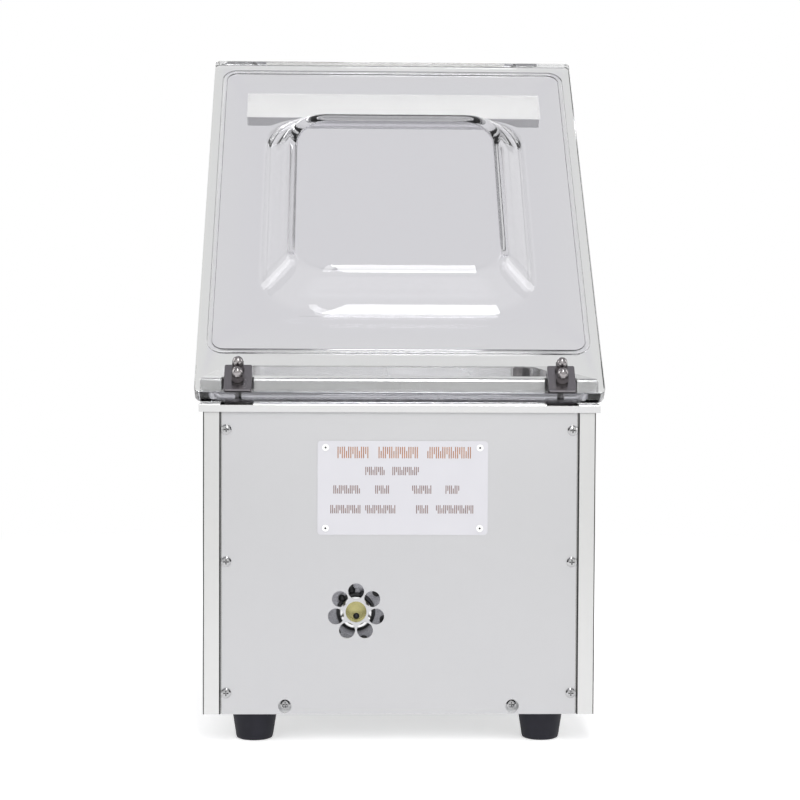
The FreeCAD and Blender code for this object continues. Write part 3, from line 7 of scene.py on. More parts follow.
import bpy
import numpy as np
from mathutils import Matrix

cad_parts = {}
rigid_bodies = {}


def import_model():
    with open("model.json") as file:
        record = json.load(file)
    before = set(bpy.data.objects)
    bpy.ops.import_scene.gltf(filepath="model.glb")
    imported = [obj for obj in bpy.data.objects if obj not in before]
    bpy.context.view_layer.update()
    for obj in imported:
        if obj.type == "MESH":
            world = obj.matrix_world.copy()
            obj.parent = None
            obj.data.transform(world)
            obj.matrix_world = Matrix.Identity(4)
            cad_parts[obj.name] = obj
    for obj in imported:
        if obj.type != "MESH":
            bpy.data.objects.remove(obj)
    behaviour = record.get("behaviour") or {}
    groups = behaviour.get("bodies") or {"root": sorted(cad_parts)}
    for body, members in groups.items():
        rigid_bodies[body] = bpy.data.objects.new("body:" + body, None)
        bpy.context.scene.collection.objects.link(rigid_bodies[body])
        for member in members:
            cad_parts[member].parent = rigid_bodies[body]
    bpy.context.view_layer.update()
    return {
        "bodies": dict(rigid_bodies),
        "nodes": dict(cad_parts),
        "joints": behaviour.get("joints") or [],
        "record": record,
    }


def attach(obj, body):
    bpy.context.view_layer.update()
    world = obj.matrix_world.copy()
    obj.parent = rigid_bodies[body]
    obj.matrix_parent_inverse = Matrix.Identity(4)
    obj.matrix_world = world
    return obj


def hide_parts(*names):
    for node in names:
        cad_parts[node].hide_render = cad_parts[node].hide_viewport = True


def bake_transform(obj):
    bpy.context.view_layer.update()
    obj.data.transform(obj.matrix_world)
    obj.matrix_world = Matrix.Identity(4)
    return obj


log = logging.getLogger("vacuum_packing_machine")

MM = 0.001
Colour = tuple[float, float, float]
Point = tuple[float, float, float]
Rings = tuple[np.ndarray, np.ndarray, np.ndarray]


# ---------------------------------------------------------------- finishes


class Grain(Enum):
    """The fine relief a finish carries, as how far its pattern is stretched along X, Y and Z."""

    BRUSHED_ACROSS = (14.0, 2600.0, 2600.0)
    BRUSHED_UP = (2600.0, 2600.0, 14.0)
    BRUSHED_DEEP = (2600.0, 14.0, 2600.0)
    CAST = (900.0, 900.0, 900.0)
    ORANGE_PEEL = (420.0, 420.0, 420.0)
    MOULDED = (2200.0, 2200.0, 2200.0)
    MILLED = (60.0, 1500.0, 900.0)
    POLISHED = (120.0, 120.0, 120.0)


# Painted shade: how much of the tone is left deep in a recess and on a bend, how fast
# the recess shade darkens, and how far a bend's normal turns from each of the flat sheets beside
# it.
RECESS_SHADE_LEFT = 0.06
RECESS_SHADE_POWER = 2.5
BEND_SHADE_LEFT = 0.10
BEND_FACING = 0.25


def darker(tone: Colour, left: float) -> Colour:
    """The same colour with only that share of its light left."""
    return tuple(left * c for c in tone)


class Bench:
    """A material being made: it adds nodes to one tree and joins their sockets."""

    def __init__(self, name: str) -> None:
        """Start a material whose surface is one Principled shader.

        Args:
            name: the material's name.
        """
        self.material = bpy.data.materials.new(name)
        self.material.use_nodes = True
        self.tree = self.material.node_tree
        self.tree.nodes.clear()
        self.shader = self.add("ShaderNodeBsdfPrincipled")
        out = self.add("ShaderNodeOutputMaterial")
        self.join(self.shader.outputs["BSDF"], out.inputs["Surface"])
        self.places = self.add("ShaderNodeTexCoord").outputs["Object"]

    def add(self, kind: str) -> bpy.types.Node:
        """Add one node of that kind to the tree."""
        return self.tree.nodes.new(kind)

    def join(self, source: bpy.types.NodeSocket, target: bpy.types.NodeSocket) -> None:
        """Join an output to an input."""
        self.tree.links.new(source, target)

    def noise(self, stretch: Point, detail: float = 3.0) -> bpy.types.NodeSocket:
        """Noise on the piece's own coordinates.

        Args:
            stretch: waves per metre along X, Y and Z.
            detail: how many finer layers are added.

        Returns:
            The noise as a number from 0 to 1, about one half in the mean.
        """
        turn = self.add("ShaderNodeMapping")
        turn.inputs["Scale"].default_value = stretch
        self.join(self.places, turn.inputs["Vector"])
        wave = self.add("ShaderNodeTexNoise")
        wave.inputs["Scale"].default_value = 1.0
        wave.inputs["Detail"].default_value = detail
        self.join(turn.outputs["Vector"], wave.inputs["Vector"])
        return wave.outputs["Fac"]

    def spread(
        self, source: bpy.types.NodeSocket, low: float, high: float
    ) -> bpy.types.NodeSocket:
        """Stretch the middle of a noise, 0.3 to 0.7, over low to high.

        Args:
            source: the noise.
            low: what 0.3 becomes.
            high: what 0.7 becomes.

        Returns:
            The stretched noise, held between the two.
        """
        fit = self.add("ShaderNodeMapRange")
        for key, value in zip(
            ("From Min", "From Max", "To Min", "To Max"), (0.3, 0.7, low, high)
        ):
            fit.inputs[key].default_value = value
        self.join(source, fit.inputs["Value"])
        return fit.outputs["Result"]

    def feed(
        self, target: bpy.types.NodeSocket, value: bpy.types.NodeSocket | Colour | float
    ) -> None:
        """Give an input its value.

        Args:
            target: the input.
            value: an output to join to it, a colour, or a number to set on it.
        """
        if isinstance(value, bpy.types.NodeSocket):
            self.join(value, target)
        elif isinstance(value, tuple):
            target.default_value = (*value, 1.0)
        else:
            target.default_value = value

    def reckon(
        self, operation: str, *terms: bpy.types.NodeSocket | float
    ) -> bpy.types.NodeSocket:
        """One step of arithmetic.

        Args:
            operation: what is done, by the node's own name for it.
            terms: the values it is done to, in order.

        Returns:
            The outcome.
        """
        step = self.add("ShaderNodeMath")
        step.operation = operation
        for target, value in zip(step.inputs, terms):
            self.feed(target, value)
        return step.outputs["Value"]

    def between(
        self,
        share: bpy.types.NodeSocket | float,
        first: bpy.types.NodeSocket | Colour,
        second: bpy.types.NodeSocket | Colour,
        mode: str = "MIX",
    ) -> bpy.types.NodeSocket:
        """Mix two colours.

        Args:
            share: from 0, all of the first, to 1, all of the second.
            first: a colour.
            second: the other colour.
            mode: how the second is laid on the first.

        Returns:
            The mixed colour.
        """
        mix = self.add("ShaderNodeMix")
        mix.data_type = "RGBA"
        mix.blend_type = mode
        for key, value in (("Factor", share), ("A", first), ("B", second)):
            self.feed(mix.inputs[key], value)
        return mix.outputs["Result"]

    def marked(self, attribute: str) -> bpy.types.NodeSocket:
        """Read a number that the mesh carries at each point.

        Args:
            attribute: its name.

        Returns:
            The number.
        """
        reader = self.add("ShaderNodeAttribute")
        reader.attribute_name = attribute
        return reader.outputs["Fac"]

    def crevice(self, reach: float, power: float) -> bpy.types.NodeSocket:
        """How open the surface is, from 0 deep in a recess to 1 in the open.

        Args:
            reach: how far away a wall still counts, in metres.
            power: more makes recesses darker.

        Returns:
            The openness, raised to the power.
        """
        look = self.add("ShaderNodeAmbientOcclusion")
        look.samples = 6
        look.inputs["Distance"].default_value = reach
        return self.reckon("POWER", look.outputs["AO"], power)

    def relief(
        self,
        source: bpy.types.NodeSocket,
        depth: float,
        under: bpy.types.NodeSocket | None = None,
    ) -> bpy.types.NodeSocket:
        """Turn a pattern into a relief.

        Args:
            source: the pattern, as a height from 0 to 1.
            depth: the height in metres of a full step of the pattern.
            under: the normal of a relief that this one lies on.

        Returns:
            The normal, ready for a shader or another relief.
        """
        bump = self.add("ShaderNodeBump")
        bump.inputs["Strength"].default_value = 1.0
        bump.inputs["Distance"].default_value = depth
        self.join(source, bump.inputs["Height"])
        if under is not None:
            self.join(under, bump.inputs["Normal"])
        return bump.outputs["Normal"]

    def fix(self, **values: float | tuple) -> None:
        """Set constants on the shader's own sockets, named with underscores for spaces."""
        for key, value in values.items():
            self.shader.inputs[key.replace("_", " ")].default_value = value


@dataclass(frozen=True)
class Finish:
    """An opaque finish: a tone that drifts, a fine grain in relief, handled, uneven gloss, and
    where asked painted shade in recesses and on upright bends.
    """

    tone: Colour
    drift: Colour
    grain: Grain = Grain.MOULDED
    depth: float = 0.00002
    metal: float = 0.0
    rough: float = 0.45
    uneven: float = 0.08
    clouds: float = 14.0
    coat: float = 0.0
    recess_shade: float = 0.0
    bend_shade: bool = False
    gloss: float = 0.5

    def make(self, name: str) -> bpy.types.Material:
        """Mix the finish.

        Args:
            name: the material's name.

        Returns:
            A material whose colour and roughness wander with broad clouds and whose normal
            follows the grain.
        """
        bench = Bench(name)
        cloud = bench.noise((self.clouds,) * 3, 4.0)
        fine = bench.noise(self.grain.value, 2.0)
        share = bench.spread(cloud, 0.0, 1.0)
        speck = bench.spread(fine, 0.7, 1.0)
        tone = bench.between(bench.reckon("MULTIPLY", share, speck), self.tone, self.drift)
        # Painted shade: the tone darkens in recesses, found by ambient occlusion.
        if self.recess_shade:
            openness = bench.crevice(self.recess_shade, RECESS_SHADE_POWER)
            shade = bench.between(openness, darker(self.tone, RECESS_SHADE_LEFT), self.tone)
            tone = bench.between(1.0, tone, shade, "DARKEN")
        # Painted shade: the upright bends are darkened, standing in for their dark reflection.
        if self.bend_shade:
            tone = self.paint_bend_shade(bench, tone)
        bench.join(tone, bench.shader.inputs["Base Color"])
        low, high = self.rough - self.uneven / 2, self.rough + self.uneven / 2
        bench.join(bench.spread(cloud, low, high), bench.shader.inputs["Roughness"])
        bench.join(bench.relief(fine, self.depth), bench.shader.inputs["Normal"])
        bench.fix(Metallic=self.metal, Coat_Weight=self.coat, Coat_Roughness=0.08,
                  Specular_IOR_Level=self.gloss)
        return bench.material

    def paint_bend_shade(
        self, bench: Bench, tone: bpy.types.NodeSocket
    ) -> bpy.types.NodeSocket:
        """Paint shade on the upright bends, standing in for the dark reflection a bent sheet shows.

        A bend is where the surface faces along neither X nor Y: the share is 1 where both
        parts of its own normal are over a quarter.

        Args:
            bench: the material being made.
            tone: the colour of the flat sheet.

        Returns:
            The colour with the painted bend shade in it.
        """
        facing = bench.add("ShaderNodeNewGeometry").outputs["True Normal"]
        parts = bench.add("ShaderNodeSeparateXYZ")
        bench.join(facing, parts.inputs["Vector"])
        over = [
            bench.reckon("GREATER_THAN", bench.reckon("ABSOLUTE", parts.outputs[axis]), BEND_FACING)
            for axis in ("X", "Y")
        ]
        share = bench.reckon("MULTIPLY", *over)
        return bench.between(share, tone, darker(self.tone, BEND_SHADE_LEFT))


@dataclass(frozen=True)
class Clear:
    """A clear finish, tinted where light enters it, with faint wiping marks on its faces; where
    asked, it is left clearer over a white part under it as painted light.
    """

    tint: Colour
    edge: Colour
    bend: float = 1.49
    rough: float = 0.01
    marks: float = 0.02
    mask: str = ""
    sawn: Colour | None = None
    brightened_strip: tuple[float, float, float, float, float] | None = None
    brightened_tint: Colour = (0.985, 0.985, 0.985)

    def make(self, name: str) -> bpy.types.Material:
        """Mix the finish.

        Args:
            name: the material's name.

        Returns:
            A refracting material. Where the attribute named by mask is 1 it takes the edge
            tint in place of the main one, and where the attribute sawn is 1 the sawn tint.
        """
        bench = Bench(name)
        cloud = bench.noise((9.0, 9.0, 9.0), 4.0)
        share = bench.marked(self.mask) if self.mask else bench.spread(cloud, 0.0, 1.0)
        tone = bench.between(share, self.tint, self.edge)
        if self.sawn is not None:
            tone = bench.between(bench.marked("sawn"), tone, self.sawn)
        # Painted light: over the white holder the sheet is almost untinted, so the holder shows
        # brighter.
        if self.brightened_strip is not None:
            tone = bench.between(self.over_brightened_strip(bench), tone, self.brightened_tint)
        bench.join(tone, bench.shader.inputs["Base Color"])
        wiped = bench.spread(bench.noise((30.0, 240.0, 30.0), 3.0), 0.0, self.marks)
        streaks = bench.reckon("MULTIPLY", cloud, wiped)
        bench.join(bench.spread(streaks, self.rough, self.rough + self.marks),
                   bench.shader.inputs["Roughness"])
        bench.fix(Transmission_Weight=1.0, IOR=self.bend)
        return bench.material

    def over_brightened_strip(self, bench: Bench) -> bpy.types.NodeSocket:
        """Painted light: 1 over the white press strip holder under the sheet and 0 elsewhere; there
        the sheet is made clearer so the holder shows brighter.

        The band runs through the sheet's thickness along the way light takes in it.

        Args:
            bench: the material being made.

        Returns:
            The product of two comparisons, along X and along the sheet's own slope.
        """
        y, z, turn, half_long, half_wide = self.brightened_strip
        angle = math.radians(turn)
        inside = []
        for axis, half in (((1.0, 0.0, 0.0), half_long),
                           ((0.0, math.cos(angle), -math.sin(angle)), half_wide)):
            along = bench.add("ShaderNodeVectorMath")
            along.operation = "DOT_PRODUCT"
            bench.join(bench.places, along.inputs[0])
            along.inputs[1].default_value = axis
            middle = float(np.dot((0.0, y, z), axis))
            inside.append(bench.reckon("COMPARE", along.outputs["Value"], middle, half))
        return bench.reckon("MULTIPLY", *inside)


@dataclass(frozen=True)
class Woven:
    """A coated glass cloth: warp and weft in relief, darker between the threads."""

    tone: Colour
    drift: Colour
    threads: float = 2400.0

    def make(self, name: str) -> bpy.types.Material:
        """Mix the finish.

        Args:
            name: the material's name.

        Returns:
            A material whose two crossing waves, sin along X and sin along Y, make the weave.
        """
        bench = Bench(name)
        threads = []
        for direction in ("X", "Y"):
            wave = bench.add("ShaderNodeTexWave")
            wave.bands_direction = direction
            wave.inputs["Scale"].default_value = self.threads / (2 * math.pi)
            wave.inputs["Distortion"].default_value = 0.4
            bench.join(bench.places, wave.inputs["Vector"])
            threads.append(wave.outputs["Fac"])
        weave = bench.reckon("MULTIPLY", *threads)
        tone = bench.between(weave, self.drift, self.tone)
        bench.join(tone, bench.shader.inputs["Base Color"])
        cloud = bench.noise((25.0, 60.0, 25.0))
        bench.join(bench.spread(cloud, 0.32, 0.5), bench.shader.inputs["Roughness"])
        bench.join(bench.relief(weave, 0.00008), bench.shader.inputs["Normal"])
        return bench.material


@dataclass(frozen=True)
class Glowing:
    """A lit sign: a colour that gives its own light, brighter in the middle of its clouds."""

    tone: Colour
    glow: float = 3.0

    def make(self, name: str) -> bpy.types.Material:
        """Mix the finish, with the glow a little uneven as in moulded light guides.

        Args:
            name: the material's name.

        Returns:
            A material that shines with its own colour.
        """
        bench = Bench(name)
        cloud = bench.noise((400.0, 400.0, 400.0))
        tone = bench.between(bench.spread(cloud, 0.0, 1.0), darker(self.tone, 0.7), self.tone)
        bench.join(tone, bench.shader.inputs["Base Color"])
        bench.join(tone, bench.shader.inputs["Emission Color"])
        bench.join(bench.spread(cloud, 0.2, 0.35), bench.shader.inputs["Roughness"])
        bench.fix(Emission_Strength=self.glow)
        return bench.material


@dataclass(frozen=True)
class Palette:
    """Every finish on the machine; a field's name is its material's name."""

    deck_steel: Finish = Finish(
        (0.77, 0.77, 0.76), (0.70, 0.70, 0.71), Grain.BRUSHED_ACROSS,
        0.000012, 1.0, 0.24, 0.08, 9.0)
    tub_steel: Finish = Finish(
        (0.91, 0.91, 0.92), (0.84, 0.84, 0.86), Grain.BRUSHED_UP,
        0.00001, 1.0, 0.24, 0.10, 7.0)
    back_steel: Finish = Finish(
        (0.535, 0.535, 0.543), (0.520, 0.520, 0.531), Grain.BRUSHED_UP,
        0.000004, 1.0, 0.42, 0.05, 5.0)
    # The side panels carry painted shade in recesses, such as the flange seam, and on their upright
    # bends.
    side_steel: Finish = Finish(
        (0.635, 0.635, 0.63), (0.605, 0.605, 0.60), Grain.BRUSHED_UP,
        0.000004, 1.0, 0.34, 0.06, 5.0, 0.0, 0.002, True)
    front_steel: Finish = Finish(
        (0.74, 0.74, 0.74), (0.70, 0.70, 0.71), Grain.BRUSHED_ACROSS,
        0.000006, 1.0, 0.38, 0.06, 6.0)
    zinc_plate: Finish = Finish(
        (0.58, 0.58, 0.57), (0.44, 0.45, 0.47), Grain.CAST,
        0.00001, 1.0, 0.36, 0.16, 45.0)
    # Screws and nuts carry painted shade in their recesses, such as the screws' cross recesses.
    screw_steel: Finish = Finish(
        (0.50, 0.50, 0.50), (0.36, 0.36, 0.37), Grain.POLISHED,
        0.00001, 1.0, 0.16, 0.08, 160.0, 0.0, 0.0016)
    nut_steel: Finish = Finish(
        (0.38, 0.36, 0.36), (0.24, 0.225, 0.23), Grain.POLISHED,
        0.000006, 1.0, 0.08, 0.05, 120.0, 0.0, 0.0015)
    leaf_steel: Finish = Finish(
        (0.30, 0.285, 0.30), (0.19, 0.18, 0.19), Grain.BRUSHED_DEEP,
        0.00002, 1.0, 0.22, 0.12, 60.0)
    shaft_steel: Finish = Finish(
        (0.55, 0.55, 0.55), (0.45, 0.45, 0.46), Grain.BRUSHED_ACROSS,
        0.000008, 1.0, 0.18, 0.08, 40.0)
    spring_steel: Finish = Finish(
        (0.38, 0.38, 0.40), (0.27, 0.27, 0.30), Grain.CAST,
        0.00001, 1.0, 0.28, 0.10, 90.0)
    bronze: Finish = Finish(
        (0.52, 0.36, 0.17), (0.38, 0.25, 0.12), Grain.CAST,
        0.00002, 1.0, 0.38, 0.12, 70.0)
    brass: Finish = Finish(
        (0.47, 0.43, 0.20), (0.33, 0.31, 0.15), Grain.POLISHED,
        0.00001, 1.0, 0.26, 0.12, 90.0)
    plate_enamel: Finish = Finish(
        (0.57, 0.565, 0.595), (0.545, 0.54, 0.57), Grain.MOULDED,
        0.000006, 0.15, 0.34, 0.06, 22.0)
    plate_ink: Finish = Finish(
        (0.26, 0.18, 0.16), (0.15, 0.10, 0.10), Grain.MOULDED,
        0.000004, 0.0, 0.5, 0.1, 500.0)
    title_ink: Finish = Finish(
        (0.42, 0.17, 0.05), (0.20, 0.10, 0.06), Grain.MOULDED,
        0.000004, 0.0, 0.5, 0.1, 420.0)
    rivet_white: Finish = Finish(
        (0.82, 0.82, 0.82), (0.76, 0.76, 0.75), Grain.MOULDED,
        0.00001, 0.0, 0.34, 0.06, 120.0)
    holder_white: Finish = Finish(
        (0.52, 0.52, 0.52), (0.50, 0.50, 0.50), Grain.MILLED,
        0.000012, 0.0, 0.38, 0.08, 18.0)
    board_white: Finish = Finish(
        (0.82, 0.82, 0.80), (0.74, 0.74, 0.71), Grain.MILLED,
        0.00004, 0.0, 0.46, 0.10, 26.0)
    rubber: Finish = Finish(
        (0.010, 0.010, 0.015), (0.017, 0.017, 0.024), Grain.MOULDED,
        0.00003, 0.0, 0.60, 0.14, 70.0, gloss=0.22)
    silicone: Finish = Finish(
        (0.74, 0.74, 0.74), (0.68, 0.68, 0.67), Grain.MOULDED,
        0.00001, 0.0, 0.30, 0.08, 60.0)
    bladder: Finish = Finish(
        (0.36, 0.10, 0.07), (0.27, 0.07, 0.05), Grain.MOULDED,
        0.00002, 0.0, 0.52, 0.12, 60.0)
    hose: Finish = Finish(
        (0.05, 0.05, 0.055), (0.028, 0.028, 0.03), Grain.MOULDED,
        0.00003, 0.0, 0.50, 0.12, 80.0)
    bar_alloy: Finish = Finish(
        (0.72, 0.72, 0.72), (0.62, 0.62, 0.63), Grain.BRUSHED_ACROSS,
        0.00002, 1.0, 0.34, 0.12, 30.0)
    cast_alloy: Finish = Finish(
        (0.56, 0.56, 0.60), (0.30, 0.30, 0.33), Grain.CAST,
        0.00016, 0.35, 0.46, 0.18, 900.0)
    motor_grey: Finish = Finish(
        (0.17, 0.20, 0.24), (0.13, 0.155, 0.19), Grain.ORANGE_PEEL,
        0.00008, 0.1, 0.42, 0.10, 40.0)
    black_oxide: Finish = Finish(
        (0.030, 0.030, 0.032), (0.055, 0.055, 0.058), Grain.CAST,
        0.00003, 0.7, 0.42, 0.16, 120.0)
    filter_paint: Finish = Finish(
        (0.80, 0.80, 0.78), (0.74, 0.74, 0.71), Grain.ORANGE_PEEL,
        0.00005, 0.0, 0.36, 0.08, 30.0)
    coil_varnish: Finish = Finish(
        (0.30, 0.20, 0.12), (0.20, 0.14, 0.09), Grain.CAST,
        0.0001, 0.2, 0.42, 0.16, 90.0)
    circuit_green: Finish = Finish(
        (0.02, 0.16, 0.07), (0.015, 0.11, 0.05), Grain.MOULDED,
        0.00004, 0.0, 0.32, 0.10, 150.0, 0.4)
    panel_film: Finish = Finish(
        (0.055, 0.075, 0.115), (0.045, 0.060, 0.095), Grain.ORANGE_PEEL,
        0.00003, 0.0, 0.36, 0.06, 24.0)
    panel_ink: Finish = Finish(
        (0.80, 0.81, 0.82), (0.70, 0.71, 0.73), Grain.MOULDED,
        0.000006, 0.0, 0.40, 0.06, 300.0)
    gauge_chrome: Finish = Finish(
        (0.72, 0.72, 0.72), (0.64, 0.64, 0.65), Grain.POLISHED,
        0.000004, 1.0, 0.09, 0.05, 60.0)
    dial_white: Finish = Finish(
        (0.86, 0.86, 0.83), (0.81, 0.81, 0.78), Grain.MOULDED,
        0.000006, 0.0, 0.42, 0.06, 60.0)
    dial_ink: Finish = Finish(
        (0.02, 0.02, 0.022), (0.045, 0.045, 0.05), Grain.MOULDED,
        0.000004, 0.0, 0.45, 0.08, 400.0)
    red_ink: Finish = Finish(
        (0.55, 0.03, 0.025), (0.45, 0.025, 0.02), Grain.MOULDED,
        0.000004, 0.0, 0.45, 0.08, 400.0)
    smoked_window: Finish = Finish(
        (0.030, 0.010, 0.012), (0.020, 0.007, 0.009), Grain.POLISHED,
        0.000004, 0.0, 0.10, 0.05, 40.0, 0.6)
    black_moulding: Finish = Finish(
        (0.028, 0.028, 0.030), (0.040, 0.040, 0.042), Grain.MOULDED,
        0.00003, 0.0, 0.38, 0.10, 90.0)
    key_grey: Finish = Finish(
        (0.42, 0.44, 0.47), (0.36, 0.38, 0.41), Grain.MOULDED,
        0.00002, 0.0, 0.40, 0.08, 160.0)
    key_green: Finish = Finish(
        (0.03, 0.36, 0.11), (0.02, 0.29, 0.09), Grain.MOULDED,
        0.00002, 0.0, 0.38, 0.08, 160.0)
    stop_red: Finish = Finish(
        (0.62, 0.02, 0.018), (0.50, 0.016, 0.015), Grain.MOULDED,
        0.00002, 0.0, 0.30, 0.08, 90.0, 0.2)
    rocker_red: Finish = Finish(
        (0.66, 0.03, 0.02), (0.52, 0.02, 0.016), Grain.MOULDED,
        0.00002, 0.0, 0.28, 0.08, 120.0, 0.3)
    release_cloth: Woven = Woven((0.36, 0.24, 0.12), (0.20, 0.13, 0.06))
    # The acrylic is made clearer over the press strip holder as painted light.
    lid_acrylic: Clear = Clear(
        (0.675, 0.67, 0.70), (0.725, 0.73, 0.725), marks=0.008, mask="margin",
        sawn=(0.30, 0.30, 0.345),
        brightened_strip=(-0.0267, 0.5460, 73.6, 0.1365, 0.0150))
    seal_clear: Clear = Clear(
        (0.97, 0.97, 0.97), (0.99, 0.99, 0.99), 1.42, 0.30, 0.05)
    gauge_glass: Clear = Clear((0.97, 0.98, 0.98), (0.99, 0.99, 0.99), 1.5)
    lamp_lit: Glowing = Glowing((0.9, 0.05, 0.03), 1.4)
    digit_lit: Glowing = Glowing((1.0, 0.07, 0.04), 5.0)


class Workshop:
    """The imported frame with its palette: it dresses nodes and puts new pieces on bodies."""

    def __init__(self, frame: dict, palette: Palette) -> None:
        """Keep the frame's nodes and an empty shelf of mixed finishes.

        Args:
            palette: the finishes to mix from.
        """
        self.nodes = frame["nodes"]
        self.palette = palette
        self.mixed: dict[str, bpy.types.Material] = {}

    def mix(self, finish: str) -> bpy.types.Material:
        """Mix a finish, once.

        Args:
            finish: the field of the palette.

        Returns:
            The material, kept for the next time it is asked for.
        """
        if finish not in self.mixed:
            self.mixed[finish] = getattr(self.palette, finish).make(finish)
        return self.mixed[finish]

    def dress(self, finish: str, *names: str) -> None:
        """Put a finish on CAD nodes.

        Args:
            finish: the field of the palette.
            names: the nodes that take it.
        """
        material = self.mix(finish)
        for name in names:
            mesh = self.nodes[name].data
            mesh.materials.clear()
            mesh.materials.append(material)

    def put(
        self,
        name: str,
        shape: "Shape",
        finish: str,
        body: str | None,
        crease: float = 40.0,
    ) -> bpy.types.Object:
        """Make an object of a shape and let it ride on a body.

        Args:
            name: the piece's name.
            shape: its points and faces, in the row frame.
            finish: the field of the palette.
            body: the CAD body it moves with, or None to leave it on no body.
            crease: edges that turn more than this, in degrees, stay sharp.

        Returns:
            The object, at the origin.
        """
        mesh = bpy.data.meshes.new(name)
        mesh.from_pydata(shape.points.tolist(), [], shape.faces)
        mesh.polygons.foreach_set("use_smooth", np.ones(len(mesh.polygons), bool))
        mesh.set_sharp_from_angle(angle=math.radians(crease))
        mesh.materials.append(self.mix(finish))
        mesh.update()
        piece = bpy.data.objects.new(name, mesh)
        bpy.context.scene.collection.objects.link(piece)
        if body is not None:
            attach(piece, body)
        return piece


# ---------------------------------------------------------------- shapes


@dataclass
class Shape:
    """Points, in metres, and the faces that join them."""

    points: np.ndarray
    faces: list[list[int]]

    def outward(self) -> "Shape":
        """Turn a closed shape's faces out.

        Where the signed volume, the sum of a . (b x c) / 6 over its triangles, is negative,
        every face is turned round.

        Returns:
            The same shape with its faces out.
        """
        volume = 0.0
        for size in {len(face) for face in self.faces}:
            ring = self.points[np.array([f for f in self.faces if len(f) == size])]
            first, second, third = ring[:, :1], ring[:, 1:-1], ring[:, 2:]
            volume += float((first * np.cross(second, third)).sum())
        if volume < 0:
            return Shape(self.points, [face[::-1] for face in self.faces])
        return self

    def moved(self, frame: "Tilted") -> "Shape":
        """The same shape, carried from a tilted frame into the row frame."""
        return Shape(frame.to_row(self.points), self.faces)

    @staticmethod
    def gathered(shapes: list["Shape"]) -> "Shape":
        """Gather several shapes.

        Args:
            shapes: the shapes.

        Returns:
            All of them as one.
        """
        starts = np.cumsum([0] + [len(s.points) for s in shapes])
        faces = [
            [index + int(start) for index in face]
            for shape, start in zip(shapes, starts)
            for face in shape.faces
        ]
        return Shape(np.concatenate([s.points for s in shapes]), faces)


@dataclass(frozen=True)
class Tilted:
    """A frame turned about X and moved in Y and Z, in which a flat sub-assembly is drawn."""

    y: float
    z: float
    turn: float

    def to_row(self, points: np.ndarray) -> np.ndarray:
        """Carry points into the row frame.

        Y' = y + Y cos t - Z sin t and Z' = z + Y sin t + Z cos t.

        Args:
            points: an array whose last axis is X, Y, Z.

        Returns:
            The points in the row frame.
        """
        angle = math.radians(self.turn)
        across, up, out = np.moveaxis(points, -1, 0)
        return np.stack(
            [
                across,
                self.y + up * math.cos(angle) - out * math.sin(angle),
                self.z + up * math.sin(angle) + out * math.cos(angle),
            ],
            axis=-1,
        )


def lattice_faces(rows: int, columns: int) -> list[list[int]]:
    """Quads between neighbouring rings of a lattice that closes round its columns.

    Args:
        rows: how many rings there are.
        columns: how many points each ring has.

    Returns:
        The quads, with ring r's points at r * columns and on.
    """
    row, column = np.meshgrid(np.arange(rows - 1), np.arange(columns), indexing="ij")
    after = (column + 1) % columns
    quads = np.stack(
        [
            row * columns + column,
            row * columns + after,
            (row + 1) * columns + after,
            (row + 1) * columns + column,
        ],
        axis=-1,
    )
    return quads.reshape(-1, 4).tolist()


def rings(grid: np.ndarray) -> Shape:
    """A closed surface through a stack of rings, with a point at the middle of each end.

    Args:
        grid: an array of ring, point in ring, and X Y Z.

    Returns:
        The surface with its faces out.
    """
    rows, columns, _ = grid.shape
    points = np.concatenate([grid.reshape(-1, 3), grid[[0, -1]].mean(axis=1)])
    around = np.arange(columns)
    after = (around + 1) % columns
    last = (rows - 1) * columns
    first_pole, last_pole = rows * columns, rows * columns + 1
    cap = np.stack([np.full(columns, first_pole), after, around], axis=-1)
    base = np.stack([np.full(columns, last_pole), last + around, last + after], axis=-1)
    faces = lattice_faces(rows, columns) + cap.tolist() + base.tolist()
    return Shape(points, faces).outward()


def rounded_outlines(
    low: np.ndarray, high: np.ndarray, corner: np.ndarray, arc: int = 6, side: int = 1
) -> np.ndarray:
    """Rounded rectangles, each as one ring of points.

    A corner is its centre plus corner times (cos t, sin t) over a quarter turn, and a side
    is the straight line between the ends of two corners.

    Args:
        low: the lowest X and Y of each rectangle.
        high: the highest X and Y of each rectangle.
        corner: each rectangle's corner radius, or two: at its low and at its high Y.
        arc: points in each corner.
        side: points added along each side.

    Returns:
        An array of rectangle, point and X Y, counter-clockwise from the high X, low Y corner.
    """
    corner = np.asarray(corner, float)
    if corner.ndim == 1:
        corner = np.stack([corner, corner], axis=-1)
    parts = []
    turns = np.linspace(0.0, math.pi / 2, arc)
    signs = ((1, -1), (1, 1), (-1, 1), (-1, -1))
    for quarter, (sign_x, sign_y) in enumerate(signs):
        radius = corner[:, 0 if sign_y < 0 else 1]
        end_x = high[:, 0] if sign_x > 0 else low[:, 0]
        end_y = high[:, 1] if sign_y > 0 else low[:, 1]
        angle = turns + (quarter - 1) * math.pi / 2
        centre_x = end_x - sign_x * radius
        centre_y = end_y - sign_y * radius
        parts.append(
            np.stack(
                [
                    centre_x[:, None] + radius[:, None] * np.cos(angle),
                    centre_y[:, None] + radius[:, None] * np.sin(angle),
                ],
                axis=-1,
            )
        )
    share = np.linspace(0.0, 1.0, side + 2)[1:-1, None]
    joined = []
    for here, there in zip(parts, parts[1:] + parts[:1]):
        joined.append(here)
        joined.append(here[:, -1:] * (1 - share) + there[:, :1] * share)
    return np.concatenate(joined, axis=1)


